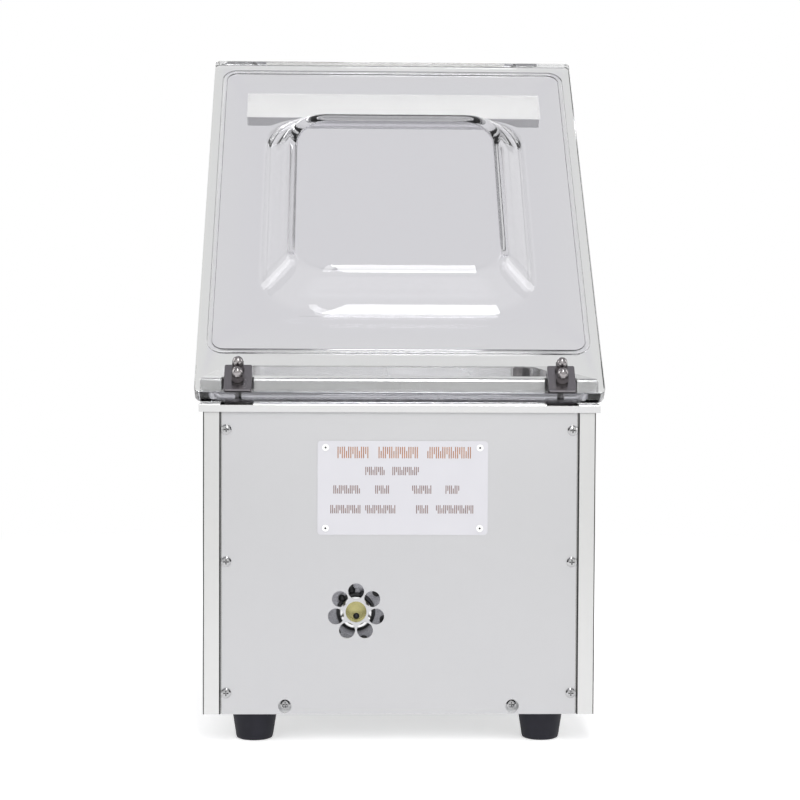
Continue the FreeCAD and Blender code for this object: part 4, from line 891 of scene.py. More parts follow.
def plaques(outlines: np.ndarray, low: float, high: float) -> Shape:
    """Thin flat pieces: each outline carried straight up from low to high and closed.

    Args:
        outlines: an array of piece, point and X Y, counter-clockwise.
        low: the height of their undersides.
        high: the height of their faces.

    Returns:
        All the pieces as one shape.
    """
    count, size, _ = outlines.shape
    levels = np.array([low, high])[None, :, None, None]
    flat = np.broadcast_to(outlines[:, None], (count, 2, size, 2))
    height = np.broadcast_to(levels, (count, 2, size, 1))
    points = np.concatenate([flat, height], axis=-1).reshape(-1, 3)
    start = (np.arange(count) * 2 * size)[:, None, None]
    around = np.arange(size)
    after = (around + 1) % size
    walls = np.stack([around, after, after + size, around + size], axis=-1)
    sides = (walls[None] + start).reshape(-1, 4).tolist()
    tops = (around[None] + size + start[:, 0]).tolist()
    bottoms = (around[::-1][None] + start[:, 0]).tolist()
    return Shape(points, sides + tops + bottoms)


def discs(centres: np.ndarray, radii: np.ndarray, around: int = 20) -> np.ndarray:
    """Round outlines: each centre plus its radius times (cos a, sin a) over a full turn.

    Args:
        centres: X and Y of each disc.
        radii: the radius of each disc.
        around: points round each disc.

    Returns:
        An array of disc, point and X Y, counter-clockwise.
    """
    angle = np.linspace(0, 2 * math.pi, around, endpoint=False)
    turn = np.stack([np.cos(angle), np.sin(angle)], axis=-1)
    return centres[:, None] + radii[:, None, None] * turn


def lathe(profile: np.ndarray, centre: Point, around: int = 48, loop: bool = False) -> Shape:
    """A closed turning about a line along Y: a point is the centre plus r (cos a, 0, sin a)
    plus y along Y.

    Args:
        profile: radius and place along Y of each ring.
        centre: the point of the line from which Y is counted.
        around: points round each ring.
        loop: whether the last ring joins the first, which makes a hollow ring; otherwise
            both ends are closed by a point on the line.

    Returns:
        The turning, in the units of the profile.
    """
    angle = np.linspace(0, 2 * math.pi, around, endpoint=False)
    radius, along = profile.T[:, :, None]
    grid = np.stack(
        [radius * np.cos(angle), along + 0 * angle, radius * np.sin(angle)], axis=-1) + centre
    if not loop:
        return rings(grid)
    count = len(profile) * around
    faces = [[index % count for index in face] for face in lattice_faces(len(profile) + 1, around)]
    return Shape(grid.reshape(-1, 3), faces).outward()


def tube(path: np.ndarray, radius: float, beside: np.ndarray, around: int = 10) -> Shape:
    """A round section carried along a path.

    A point is the path plus radius times (cos a times u plus sin a times v), where u is
    square to the path's direction and to beside, and v to both.

    Args:
        path: the points of the middle line.
        radius: the section's radius.
        beside: for each path point, a direction that the path never runs along.
        around: points round the section.

    Returns:
        The closed tube.
    """
    along = np.gradient(path, axis=0)
    along /= np.linalg.norm(along, axis=1, keepdims=True)
    first = np.cross(along, beside)
    first /= np.linalg.norm(first, axis=1, keepdims=True)
    second = np.cross(along, first)
    angle = np.linspace(0, 2 * math.pi, around, endpoint=False)[:, None]
    grid = path[:, None] + radius * (
        np.cos(angle) * first[:, None] + np.sin(angle) * second[:, None]
    )
    return rings(grid)


def lettering(words: str, height: float, thick: float) -> Shape:
    """Plain figures as a thin solid that stands on Z = 0 about the origin.

    Args:
        words: the figures.
        height: their height.
        thick: how far they stand out.

    Returns:
        The solid, in metres.
    """
    curve = bpy.data.curves.new("figures", "FONT")
    curve.body = words
    curve.size = height * 1.38
    curve.align_x = "CENTER"
    curve.align_y = "CENTER"
    curve.extrude = thick / 2
    curve.resolution_u = 3
    drawn = bpy.data.objects.new("figures", curve)
    bpy.context.scene.collection.objects.link(drawn)
    graph = bpy.context.evaluated_depsgraph_get()
    mesh = bpy.data.meshes.new_from_object(drawn.evaluated_get(graph))
    points = np.zeros(len(mesh.vertices) * 3)
    mesh.vertices.foreach_get("co", points)
    faces = [list(face.vertices) for face in mesh.polygons]
    bpy.data.objects.remove(drawn)
    bpy.data.meshes.remove(mesh)
    return Shape(points.reshape(-1, 3) + (0, 0, thick / 2), faces)


def s_profile(
    run: float, rise: float, foot: float, crown: float, steps: int = 400
) -> tuple[np.ndarray, np.ndarray]:
    """A wall's section: a concave arc at its foot, a straight, and a convex arc at its crown.

    Both arcs turn by the same angle a, which meets run sin a + (foot + crown - rise) cos a
    = foot + crown, so that the straight joins them without a kink.

    Args:
        run: how far the wall goes across.
        rise: how far it goes up.
        foot: the radius at the foot.
        crown: the radius at the crown.
        steps: points in each arc.

    Returns:
        The points across, as a share of the run, and up; and the wall's slope at each.
    """
    both = foot + crown
    reach = math.hypot(run, both - rise)
    angle = math.asin(both / reach) - math.atan2(both - rise, run)
    turn = np.linspace(0.0, angle, steps)
    low = np.stack([foot * np.sin(turn), foot * (1 - np.cos(turn))], axis=-1)
    high = np.stack([run - crown * np.sin(turn), rise - crown * (1 - np.cos(turn))], axis=-1)
    section = np.concatenate([low, high[::-1]])
    return section / (run, 1.0), np.concatenate([turn, turn[::-1]])


# ---------------------------------------------------------------- lid


@dataclass
class LidAssembly:
    """The clear lid with its dome, gasket, press strip, hinges and pull springs.

    Sizes are in millimetres in the lid's own frame: X across, Y from the slab's rear edge
    towards its front edge, Z out of the slab from the hinge axis.
    """

    half_width: float = 168.75
    length: float = 427.5
    heel: float = 18.0
    under: float = 14.6
    over: float = 26.6
    dome: tuple[float, float, float] = (124.0, 87.5, 345.0)
    crown: tuple[float, float, float] = (86.0, 121.0, 310.0)
    rise: float = 30.0
    roof: float = 9.5
    lift: float = 0.06
    rear_radii: tuple[float, float] = (17.0, 13.0)
    side_radii: tuple[float, float] = (8.0, 13.0)
    groove: tuple[float, float, float] = (159.0, 52.0, 417.0)
    groove_width: float = 4.4
    groove_depth: float = 2.6
    rear_corner: float = 7.0
    front_corner: float = 4.0
    arris: float = 0.7
    flat_edge: float = 1.3
    corner_foot: float = 37.0
    corner_crown: float = 27.0
    levels: int = 60
    sawn_depth: tuple[float, float] = (0.4, 1.2)
    axis_y: float = 208.95
    axis_z: float = 285.4
    open_angle: float = 45.5
    spring_x: float = 94.0
    spring_coil: float = 4.6
    spring_wire: float = 1.0
    spring_turns: int = 27
    spring_end: float = 10.0
    hook: float = 3.6
    anchor: tuple[float, float] = (122.0, 202.0)
    pin: tuple[float, float] = (198.9, 268.1)

    @property
    def frame(self) -> Tilted:
        """The lid's frame at rest, in metres."""
        return Tilted(self.axis_y * MM, self.axis_z * MM, -self.open_angle)

    def ring(self, box: np.ndarray, corners: np.ndarray, level: np.ndarray) -> np.ndarray:
        """Rings round the slab, one for each row of the arrays.

        Args:
            box: half width, rear and front distance of each ring.
            corners: rear and front corner radius of each ring.
            level: the height of each ring.

        Returns:
            An array of ring, point and X Y Z in metres in the lid's frame.
        """
        half, rear, front = box.T
        low = np.stack([-half, self.heel - front], axis=-1)
        high = np.stack([half, self.heel - rear], axis=-1)
        flat = rounded_outlines(low, high, corners[:, ::-1], arc=14, side=9)
        tall = np.broadcast_to(level[:, None, None], (*flat.shape[:2], 1))
        return np.concatenate([flat, tall], axis=-1) * MM

    def inset(self, box: tuple[float, float, float], by: np.ndarray) -> np.ndarray:
        """A box drawn in on every side by each of the distances."""
        return np.array(box) + by[:, None] * np.array((-1.0, 1.0, -1.0))

    def wall_side(
        self, run: float, radii: tuple[float, float], inside: bool
    ) -> tuple[np.ndarray, np.ndarray]:
        """One side of the dome's wall, as how far in it goes at each height.

        The inner face is the outer one moved along its normal (sin a, -cos a) by the sheet's
        thickness, which falls evenly with the height from the slab's to the roof's. Where
        that would fold back on itself, the height is held at the highest so far.

        Args:
            run: how far the wall goes in from foot to crown.
            radii: of the section at its foot and at its crown.
            inside: whether the inner face is wanted.

        Returns:
            The heights over the slab's top, rising, and the distances in from the foot.
        """
        section, slope = s_profile(run, self.rise, *radii)
        across, height = section[:, 0] * run, section[:, 1]
        if inside:
            sheet = self.over - self.under - self.lift
            thick = sheet + (self.roof - sheet) * height / self.rise
            across = across + thick * np.sin(slope)
            height = height - thick * np.cos(slope)
        return np.maximum.accumulate(height), across

    def wall_rings(self, inside: bool) -> Rings:
        """The dome's wall as rings from its foot to its crown.

        Each ring has one height, and at that height each side is as far in as its own
        section says: the rear wall is well rounded, the others are drawn tighter.

        Args:
            inside: whether the inner face is wanted.

        Returns:
            The rings' boxes, corner radii and heights.
        """
        foot, crown = np.array(self.dome), np.array(self.crown)
        rear = self.wall_side(float(crown[1] - foot[1]), self.rear_radii, inside)
        share = 0.5 - 0.5 * np.cos(np.linspace(0.0, math.pi, self.levels))
        level = rear[0][0] + (rear[0][-1] - rear[0][0]) * share
        inward = []
        for side, radii in ((0, self.side_radii), (1, self.rear_radii), (2, self.side_radii)):
            height, across = self.wall_side(abs(float(crown[side] - foot[side])), radii, inside)
            inward.append(np.interp(level, height, across))
        boxes = foot + np.stack(inward, axis=-1) * np.array((-1.0, 1.0, -1.0))
        narrowing = self.corner_foot - self.corner_crown
        corner = self.corner_foot - narrowing * inward[1] / inward[1][-1]
        return boxes, np.stack([corner, corner], axis=-1), self.over + level

    def level_rings(
        self, box: Point, by: tuple[float, ...], radius: float, level: float
    ) -> Rings:
        """Rings at one level: a box drawn in by each of the distances.

        Args:
            box: half width, rear and front distance.
            by: how far each ring is drawn in.
            radius: every corner's radius.
            level: the rings' height.

        Returns:
            The rings' boxes, corner radii and heights.
        """
        count = len(by)
        return self.inset(box, np.array(by)), np.full((count, 2), radius), np.full(count, level)

    def edge_rings(self, by: np.ndarray, level: np.ndarray) -> Rings:
        """Rings round the slab's edge.

        Args:
            by: how far each ring is drawn in from the slab's outline.
            level: each ring's height.

        Returns:
            The rings' boxes, corner radii and heights.
        """
        corner = np.array([[self.rear_corner, self.front_corner]])
        boxes = self.inset((self.half_width, 0.0, self.length), by)
        return boxes, np.repeat(corner, len(by), axis=0), level

    def slab(self) -> Shape:
        """The lid as one closed surface of rings.

        The rings start inside the crown, go down the dome's outer wall, out over the slab,
        round its edge and back under it through the gasket groove and up inside the dome.

        Returns:
            The surface in the row frame.
        """
        quarter = np.array([1.0, 0.62, 0.3, 0.08, 0.0])
        soft, drop = self.arris * quarter, self.arris * quarter[::-1]
        outer, inner = self.wall_rings(False), self.wall_rings(True)
        under, top = self.under + self.lift, self.over + self.rise
        groove = self.groove_width / 2 * np.array([-1.1, -1, -1, -0.93, 0.93, 1, 1, 1.1])
        groove_corner = np.array([14.2, 14.0, 14.0, 13.8, 10.2, 10.0, 10.0, 9.8])
        border = np.array([self.flat_edge])
        parts = [
            self.level_rings(self.crown, (14.0, 2.0, 0.3), self.corner_crown, top),
            tuple(rows[::-1] for rows in outer),
            self.level_rings(self.dome, (-0.3, -3.0), self.corner_foot, self.over),
            self.level_rings(self.groove, (0.0,), 12.0, self.over),
            self.edge_rings(border, np.array([self.over])),
            self.edge_rings(soft, self.over - drop),
            self.edge_rings(soft[::-1], under + drop[::-1]),
            self.edge_rings(border, np.array([under])),
            (self.inset(self.groove, groove), np.stack([groove_corner] * 2, axis=-1),
             under + self.groove_depth * np.array([0, 0, 0.94, 1, 1, 0.94, 0, 0])),
            self.level_rings(self.dome, (-3.0, -0.3), self.corner_foot, under),
            inner,
            self.level_rings(self.crown, (0.3, 2.0, 14.0), self.corner_crown, top - self.roof),
        ]
        boxes, corners, levels = (np.concatenate([part[k] for part in parts]) for k in range(3))
        return rings(self.ring(boxes, corners, levels)).moved(self.frame)

    def mark_margin(self, piece: bpy.types.Object) -> None:
        """Write how far each point lies outside the gasket groove, from 0 to 1, and whether
        it lies on the sawn rear edge.

        Args:
            piece: the lid's slab.
        """
        count = len(piece.data.vertices)
        points = np.zeros(count * 3)
        piece.data.vertices.foreach_get("co", points)
        x, y, z = points.reshape(-1, 3).T / MM
        angle = math.radians(self.open_angle)
        back = self.heel - (y - self.axis_y) * math.cos(angle) + (z - self.axis_z) * math.sin(angle)
        half, rear, front = self.groove
        outside = np.maximum.reduce([np.abs(x) - half, rear - back, back - front])
        share = np.clip(outside / self.groove_width + 0.5, 0.0, 1.0)
        whole, none = self.sawn_depth
        sawn = np.clip((none - back) / (none - whole), 0.0, 1.0)
        for name, values in (("margin", share), ("sawn", sawn)):
            layer = piece.data.attributes.new(name, "FLOAT", "POINT")
            layer.data.foreach_set("value", values.astype(np.float32))

    def spring(self, side: float, low: np.ndarray, high: np.ndarray) -> Shape:
        """A pull spring: a close coil between two hooks.

        The coil is the middle line plus the coil radius times (cos a, sin a) square to it;
        each hook is a circle that lies in the plane of the middle line.

        Args:
            side: -1 or 1, the side of the machine.
            low: Y and Z of the anchor, in millimetres.
            high: Y and Z of the lever's pin, in millimetres.

        Returns:
            Coil and hooks in the row frame.
        """
        reach = float(np.linalg.norm(high - low))
        along = np.array([0.0, *((high - low) / reach)])
        across = np.array([1.0, 0.0, 0.0])
        third = np.cross(along, across)
        start = np.array([side * self.spring_x, *low])
        share = np.linspace(0.0, 1.0, self.spring_turns * 14)
        turn = share[:, None] * self.spring_turns * 2 * math.pi
        middle = start + (self.spring_end + share[:, None] * (reach - 2 * self.spring_end)) * along
        path = middle + self.spring_coil * (np.cos(turn) * across + np.sin(turn) * third)
        shapes = [tube(path * MM, self.spring_wire * MM / 2, np.tile(along, (len(path), 1)), 8)]
        loop = np.linspace(-0.35, 1.5, 22)[:, None] * math.pi
        tail = along * np.array([[self.spring_end + 0.4], [7.0]])
        for centre, sign in ((start, 1.0), (start + reach * along, -1.0)):
            hook = centre + self.hook * (np.cos(loop) * along * sign + np.sin(loop) * third)
            line = np.concatenate([centre + sign * tail, hook])
            shapes.append(tube(line * MM, self.spring_wire * MM / 2,
                               np.tile(across, (len(line), 1)), 8))
        return Shape.gathered(shapes)

    def build(self, shop: Workshop) -> None:
        """Make the slab and the springs and dress what the lid carries.

        Args:
            shop: the workshop with the frame.
        """
        lid = shop.put("lid_slab", self.slab(), "lid_acrylic", "lid_assembly",
                       crease=50.0)
        self.mark_margin(lid)
        lid.visible_shadow = False
        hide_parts("lid")
        anchor, pin = np.array(self.anchor), np.array(self.pin)
        both = Shape.gathered([self.spring(side, anchor, pin) for side in (-1.0, 1.0)])
        springs = shop.put("pull_springs", both, "spring_steel", None)
        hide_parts("lid_springs")
        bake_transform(springs)
        shop.dress("silicone", "press_strip")
        shop.dress("seal_clear", "lid_gasket")
        shop.nodes["lid_gasket"].visible_shadow = False
        shop.dress("holder_white", "press_strip_holder")
        shop.dress("leaf_steel", "hinge_leaves", "hinge_brackets")
        shop.dress("nut_steel", "cap_nuts", "hinge_bolts")
        shop.dress("shaft_steel", "hinge_shaft")
        shop.dress("bronze", "hinge_bearings")
        shop.dress("zinc_plate", "shaft_levers")
        log.info("lid: slab with dome, two pull springs, hinges dressed")


# ---------------------------------------------------------------- case


@dataclass
class Case:
    """The steel case, its fixings and feet, and the rating plate at the rear.

    Sizes are in millimetres. The plate's print is drawn about the plate's middle, across
    to the viewer's right and up.
    """

    plate_x: float = -2.5
    plate_z: float = 212.6
    plate_face: float = 233.0
    print_thick: float = 0.06
    stroke: float = 0.80
    pitch: float = 1.5
    title_pitch: float = 1.75
    title_up: float = 29.2
    title_tall: float = 9.6
    row_tall: float = 7.0
    # Dark dots on the plate's fixings: painted shade for their hollow centres.
    shade_dot_at: tuple[float, float] = (63.55, 33.25)
    shade_dot_radius: float = 0.85
    shade_dot_stand: float = 0.95
    title: tuple[tuple[float, float], ...] = ((-54.2, -27.6), (-20.5, 13.2), (19.7, 55.8))
    lines: tuple[tuple[float, float, float], ...] = (
        (-31.2, -14.8, 14.0), (-9.0, 14.0, 14.0),
        (-57.4, -35.3, -1.3), (-23.0, -11.1, -1.3), (7.4, 23.4, -1.3), (34.9, 47.6, -1.3),
        (-59.9, -34.5, -17.6), (-31.2, -5.7, -17.6), (10.7, 21.3, -17.6), (27.1, 59.1, -17.6),
    )

    def strokes(
        self, spans: np.ndarray, level: np.ndarray, tall: float, pitch: float
    ) -> np.ndarray:
        """Short upright strokes that stand in for words, ruled at an even pitch.

        Each stroke is a rounded bar; every third is cut to two thirds, so that a row looks
        printed and says nothing.

        Args:
            spans: the left and right end of each word.
            level: the height of each word's middle.
            tall: the height of a full stroke.
            pitch: the distance between strokes.

        Returns:
            The outlines of all the strokes.
        """
        starts, heights = [], []
        for (left, right), middle in zip(spans, level):
            places = np.arange(left + pitch / 2, right, pitch)
            starts.append(places)
            heights.append(np.full(len(places), middle))
        across, middle = np.concatenate(starts), np.concatenate(heights)
        order = np.arange(len(across))
        short = np.where(order % 3 == 1, 0.62, 1.0) * tall / 2
        shift = np.where(order % 6 == 1, tall * 0.17, np.where(order % 6 == 4, -tall * 0.17, 0))
        low = np.stack([across - self.stroke / 2, middle + shift - short], axis=-1)
        high = np.stack([across + self.stroke / 2, middle + shift + short], axis=-1)
        return rounded_outlines(low, high, np.full(len(across), 0.2), arc=2, side=0)

    def on_plate(self, outlines: np.ndarray) -> Shape:
        """Raise outlines off the rating plate's face, across to the viewer's right.

        Args:
            outlines: what to raise, in millimetres about the plate's middle.

        Returns:
            The print in the row frame: X is the plate's middle less across, Z is up.
        """
        flat = plaques(outlines, -0.02, self.print_thick)
        across, up, out = flat.points.T
        points = np.stack([self.plate_x - across, self.plate_face + out, self.plate_z + up], -1)
        return Shape(points * MM, flat.faces)

    def build(self, shop: Workshop) -> None:
        """Print the rating plate and dress the case.

        Args:
            shop: the workshop with the frame.
        """
        title = np.array(self.title)
        head = self.strokes(title, np.full(len(title), self.title_up), self.title_tall,
                            self.title_pitch)
        shop.put("plate_title", self.on_plate(head), "title_ink", "machine")
        rows = np.array(self.lines)
        body = self.strokes(rows[:, :2], rows[:, 2], self.row_tall, self.pitch)
        shop.put("plate_rows", self.on_plate(body), "plate_ink", "machine")
        # Painted shade: dark discs on the fixings' middles stand for the shade in their hollow
        # centres.
        signs = np.array([(-1, -1), (-1, 1), (1, -1), (1, 1)])
        shade_dots = self.on_plate(discs(signs * self.shade_dot_at, np.full(4, self.shade_dot_radius), 12))
        shade_dots.points[:, 1] += self.shade_dot_stand * MM
        shop.put("plate_shade_dots", shade_dots, "black_oxide", "machine")
        shop.dress("deck_steel", "chamber_deck")
        shop.dress("tub_steel", "chamber_tub")
        shop.dress("back_steel", "rear_panel")
        shop.nodes["rear_panel"].visible_shadow = False
        shop.dress("side_steel", "side_panel_left", "side_panel_right")
        shop.dress("front_steel", "front_panel")
        shop.dress("zinc_plate", "base_tray", "frame_bars")
        shop.dress("screw_steel", "case_screws")
        shop.dress("plate_enamel", "nameplate")
        shop.dress("rivet_white", "nameplate_fixings")
        shop.dress("rubber", "feet")
        log.info("case: panels, feet and rating plate dressed")


# ---------------------------------------------------------------- chamber


@dataclass
class SealingSet:
    """The seal bar with its channel, bladder, cloth and guide post, and the filler boards."""

    def build(self, shop: Workshop) -> None:
        """Dress what stands in the chamber.

        Args:
            shop: the workshop with the frame.
        """
        shop.dress("bar_alloy", "bar_channel", "seal_bar")
        shop.dress("bladder", "air_bladder")
        shop.dress("release_cloth", "release_tape")
        shop.dress("nut_steel", "bar_guide_post")
        shop.dress("board_white", "filler_boards")
        log.info("chamber: seal bar and filler boards dressed")


# ---------------------------------------------------------------- controls


@dataclass
class ControlPanel:
    """The sloping panel: gauge, display, lamps, keys, stop button and power rocker.

    Sizes are in millimetres in the panel's frame: X across, Y up the slope, Z out of it.
    """

    foot_y: float = -243.7
    foot_z: float = 85.0
    slope: float = 75.4823
    face: float = 2.0
    half_width: float = 145.0
    bottom: float = 18.0
    top: float = 178.0
    gauge: tuple[float, float] = (-92.0, 98.0)
    dial_face: float = 3.0
    dial_radius: float = 24.3
    scale_from: float = 135.0
    scale_sweep: float = 270.0
    scale_steps: int = 10
    keys: tuple[float, ...] = (-36.0, -12.0, 12.0, 36.0)
    key_up: float = 76.0
    key_face: float = 4.5
    lamps: tuple[float, ...] = (-30.0, -10.0, 10.0, 30.0)
    lamp_up: float = 102.0
    window_up: float = 130.0
    window_face: float = 2.8
    digit: tuple[float, float] = (7.6, 14.0)
    switch_x: float = 92.0
    stop_up: float = 132.0
    rocker_up: float = 68.0

    @property
    def frame(self) -> Tilted:
        """The panel's frame in metres."""
        return Tilted(self.foot_y * MM, self.foot_z * MM, self.slope)

    def raise_print(self, outlines: np.ndarray, level: float, thick: float = 0.06) -> Shape:
        """Raise outlines off a level of the panel, in the row frame."""
        flat = plaques(outlines, level - 0.02, level + thick)
        return Shape(flat.points * MM, flat.faces).moved(self.frame)

    def bars(self, boxes: list[tuple[float, float, float, float]], corner: float) -> np.ndarray:
        """Rounded bars from their lowest X, lowest Y, highest X and highest Y."""
        sizes = np.array(boxes)
        return rounded_outlines(sizes[:, :2], sizes[:, 2:], np.full(len(sizes), corner), 3, 0)

    def fan(self, angles: np.ndarray, inner: np.ndarray, outer: float, half: float) -> np.ndarray:
        """Ticks that point at the dial's middle.

        A tick is a rectangle along the radius, turned to its angle: along times
        (cos a, sin a) plus beside times (-sin a, cos a).

        Args:
            angles: each tick's angle.
            inner: each tick's inner end.
            outer: the ticks' outer end.
            half: half of a tick's width.

        Returns:
            The ticks' outlines.
        """
        along = np.stack([inner, np.full_like(inner, outer), np.full_like(inner, outer), inner], 1)
        beside = np.array([[-half, -half, half, half]])
        cos, sin = np.cos(angles)[:, None], np.sin(angles)[:, None]
        across = self.gauge[0] + along * cos - beside * sin
        return np.stack([across, self.gauge[1] + along * sin + beside * cos], axis=-1)

    def dial(self, shop: Workshop) -> None:
        """Print the gauge's scale: ticks, an arc of the working band, and its figures.

        Args:
            shop: the workshop with the frame.
        """
        count = self.scale_steps * 5 + 1
        degrees = self.scale_from + 90 - np.linspace(0.0, self.scale_sweep, count)
        angles = np.radians(degrees)
        long = np.arange(count) % 5 == 0
        inner = np.where(long, self.dial_radius - 5.2, self.dial_radius - 3.0)
        ticks = self.fan(angles, inner, self.dial_radius - 0.9, 0.16)
        shop.put("dial_ticks", self.raise_print(ticks, self.dial_face), "dial_ink", "machine")
        start = angles[35:50]
        step = float(angles[0] - angles[1]) / 2
        band = self.fan(start - step, np.full(15, self.dial_radius - 2.2),
                        self.dial_radius - 1.0, 1.28)
        shop.put("dial_band", self.raise_print(band, self.dial_face, 0.03), "red_ink", "machine")
        shapes = []
        for number, angle in enumerate(angles[::10]):
            figure = lettering(str(number * 20), 3.0, 0.05)
            shift = (self.gauge[0] + 15.6 * math.cos(angle), self.gauge[1] + 15.6 * math.sin(angle),
                     self.dial_face - 0.01)
            shapes.append(Shape((figure.points + shift) * MM, figure.faces).moved(self.frame))
        shop.put("dial_figures", Shape.gathered(shapes), "dial_ink", "machine")

    def display(self, shop: Workshop) -> None:
        """Light the display: four figures of seven bars each.

        Args:
            shop: the workshop with the frame.
        """
        wide, tall = self.digit
        bar, gap = 1.5, 0.3
        half = tall / 2
        boxes = []
        for left, lit in ((-19.0, "abcdef"), (-8.6, "bc"), (1.8, "abged"), (12.2, "abcdef")):
            foot = self.window_up - half
            segment = {
                "a": (left + gap, foot + tall - bar, left + wide - gap, foot + tall),
                "b": (left + wide - bar, foot + half + gap, left + wide, foot + tall - gap),
                "c": (left + wide - bar, foot + gap, left + wide, foot + half - gap),
                "d": (left + gap, foot, left + wide - gap, foot + bar),
                "e": (left, foot + gap, left + bar, foot + half - gap),
                "f": (left, foot + half + gap, left + bar, foot + tall - gap),
                "g": (left + gap, foot + half - bar / 2, left + wide - gap, foot + half + bar / 2),
            }
            boxes += [segment[key] for key in lit]
        shape = self.raise_print(self.bars(boxes, 0.35), self.window_face, 0.05)
        shop.put("display_digits", shape, "digit_lit", "machine")

    def legends(self, shop: Workshop) -> None:
        """Print the panel: a border, rules by the controls, and a mark on each key.

        Args:
            shop: the workshop with the frame.
        """
        left, right = 6.0 - self.half_width, self.half_width - 6.0
        low, high = self.bottom + 6.0, self.top - 6.0
        line = 0.5
        boxes = [
            (left, low, right, low + line), (left, high - line, right, high),
            (left, low, left + line, high), (right - line, low, right, high),
        ]
        boxes += [(x - 4.5, self.lamp_up - 7.2, x + 4.5, self.lamp_up - 6.0) for x in self.lamps]
        boxes += [(x - 5.5, self.key_up - 14.0, x + 5.5, self.key_up - 12.6) for x in self.keys]
        boxes += [(self.switch_x - 9, self.stop_up - 22.5, self.switch_x + 9, self.stop_up - 21.1)]
        boxes += [(self.switch_x - 9, self.rocker_up - 23, self.switch_x + 9,
                   self.rocker_up - 21.6)]
        boxes += [(self.gauge[0] - 16, self.gauge[1] - 39, self.gauge[0] + 16,
                   self.gauge[1] - 37.6)]
        shop.put("panel_print", self.raise_print(self.bars(boxes, 0.24), self.face), "panel_ink",
                 "machine")
        up = self.key_up
        marks = {
            "set_key": [(-38.6, up - 2.6, -37.0, up + 2.6), (-35.0, up - 2.6, -33.4, up + 2.6)],
            "down_key": [(-14.8, up - 0.7, -9.2, up + 0.7)],
            "up_key": [(9.2, up - 0.7, 14.8, up + 0.7), (11.3, up - 2.8, 12.7, up + 2.8)],
        }
        for body, shapes in marks.items():
            mark = self.raise_print(self.bars(shapes, 0.3), self.key_face)
            shop.put(f"{body}_mark", mark, "panel_ink", body)
        x = self.keys[-1]
        arrow = np.array([[[x - 2.2, up - 2.9], [x + 3.2, up], [x - 2.2, up + 2.9]]])
        shop.put("start_key_mark", self.raise_print(arrow, self.key_face), "panel_ink",
                 "start_key")

    def build(self, shop: Workshop) -> None:
        """Print the panel and dress its controls.

        Args:
            shop: the workshop with the frame.
        """
        self.dial(shop)
        self.display(shop)
        self.legends(shop)
        shop.dress("panel_film", "control_plate")
        shop.dress("gauge_chrome", "gauge_case")
        shop.dress("dial_white", "gauge_dial")
        shop.dress("gauge_glass", "gauge_glass")
        shop.nodes["gauge_glass"].visible_shadow = False
        shop.dress("dial_ink", "gauge_needle")
        shop.dress("smoked_window", "display_window")
        shop.dress("lamp_lit", "indicator_lamps")
        shop.dress("key_grey", "key_set", "key_down", "key_up")
        shop.dress("key_green", "key_start")
        shop.dress("stop_red", "stop_button")
        shop.dress("black_moulding", "switch_surrounds")
        shop.dress("rocker_red", "power_rocker")
        log.info("panel: dial, display and legends printed, controls dressed")


# ---------------------------------------------------------------- works inside the case


@dataclass
class Works:
    """The mains inlet and the pump set, motor and boards inside the case.

    Sizes are in millimetres in the row frame; the fitting stands on the pump's rear cover.
    """

    fitting: Point = (35.5, 209.2, 106.7)
    ring: tuple[tuple[float, float], ...] = (
        (10.4, -1.0), (10.4, 2.6), (10.9, 3.2), (12.9, 3.2), (13.5, 2.6), (13.7, -1.0))
    collar: tuple[tuple[float, float], ...] = (
        (13.9, -1.0), (13.9, 1.0), (15.6, 0.8), (16.2, -1.0))
    heads: tuple[tuple[float, float, float], ...] = (
        (38.9, 124.9, 3.0), (47.2, 118.2, 3.0), (30.2, 122.1, 2.6), (24.7, 112.8, 2.2))
    ball: tuple[float, float, float] = (35.1, 103.3, 2.7)
    head_tip: float = 0.04
    head_rise: float = 0.9

    def behind_vent(self, shop: Workshop) -> None:
        """Make the pump fitting that shows through the vent: ring, collar, heads and float.

        The heads and the float are half ovals of their radius.

        Args:
            shop: the workshop with the frame.
        """
        centre = self.fitting
        for name, profile, finish, slot in (
            ("fitting_ring", self.ring, "gauge_chrome", "sight_brass"),
            ("fitting_collar", self.collar, "black_oxide", "black_steel"),
        ):
            turned = lathe(np.array(profile), centre, loop=True)
            shop.put(name, Shape(turned.points * MM, turned.faces), finish, "machine")
        turn = np.linspace(self.head_tip, math.pi / 2, 7)
        bumps = []
        for across, up, size in (*self.heads, self.ball):
            dome = np.stack(
                [size * np.sin(turn), self.head_rise * size * np.cos(turn)], axis=-1)
            low = np.array([[size, -0.6]])
            bumps.append(lathe(np.concatenate([dome, low]), (across, centre[1], up), 20))
        every = Shape.gathered(bumps)
        shop.put("fitting_heads", Shape(every.points * MM, every.faces), "black_oxide",
                 "machine")

    def build(self, shop: Workshop) -> None:
        """Dress the works.

        Args:
            shop: the workshop with the frame.
        """
        self.behind_vent(shop)
        shop.dress("black_moulding", "power_inlet", "fuse_holder", "oil_filler_cap")
        shop.dress("cast_alloy", "pump_body")
        shop.dress("black_oxide", "pump_bolts", "fan_cover")
        shop.dress("brass", "oil_sight_glass", "vacuum_valve")
        shop.dress("filter_paint", "exhaust_filter")
        shop.dress("zinc_plate", "pump_cradle")
        shop.dress("rubber", "pump_mounts")
        shop.dress("motor_grey", "motor_housing")
        shop.dress("shaft_steel", "motor_rotor")
        shop.dress("coil_varnish", "transformer")
        shop.dress("circuit_green", "control_board")
        shop.dress("hose", "suction_hose")
        log.info("works: inlet, pump set and boards dressed")


# ---------------------------------------------------------------- studio


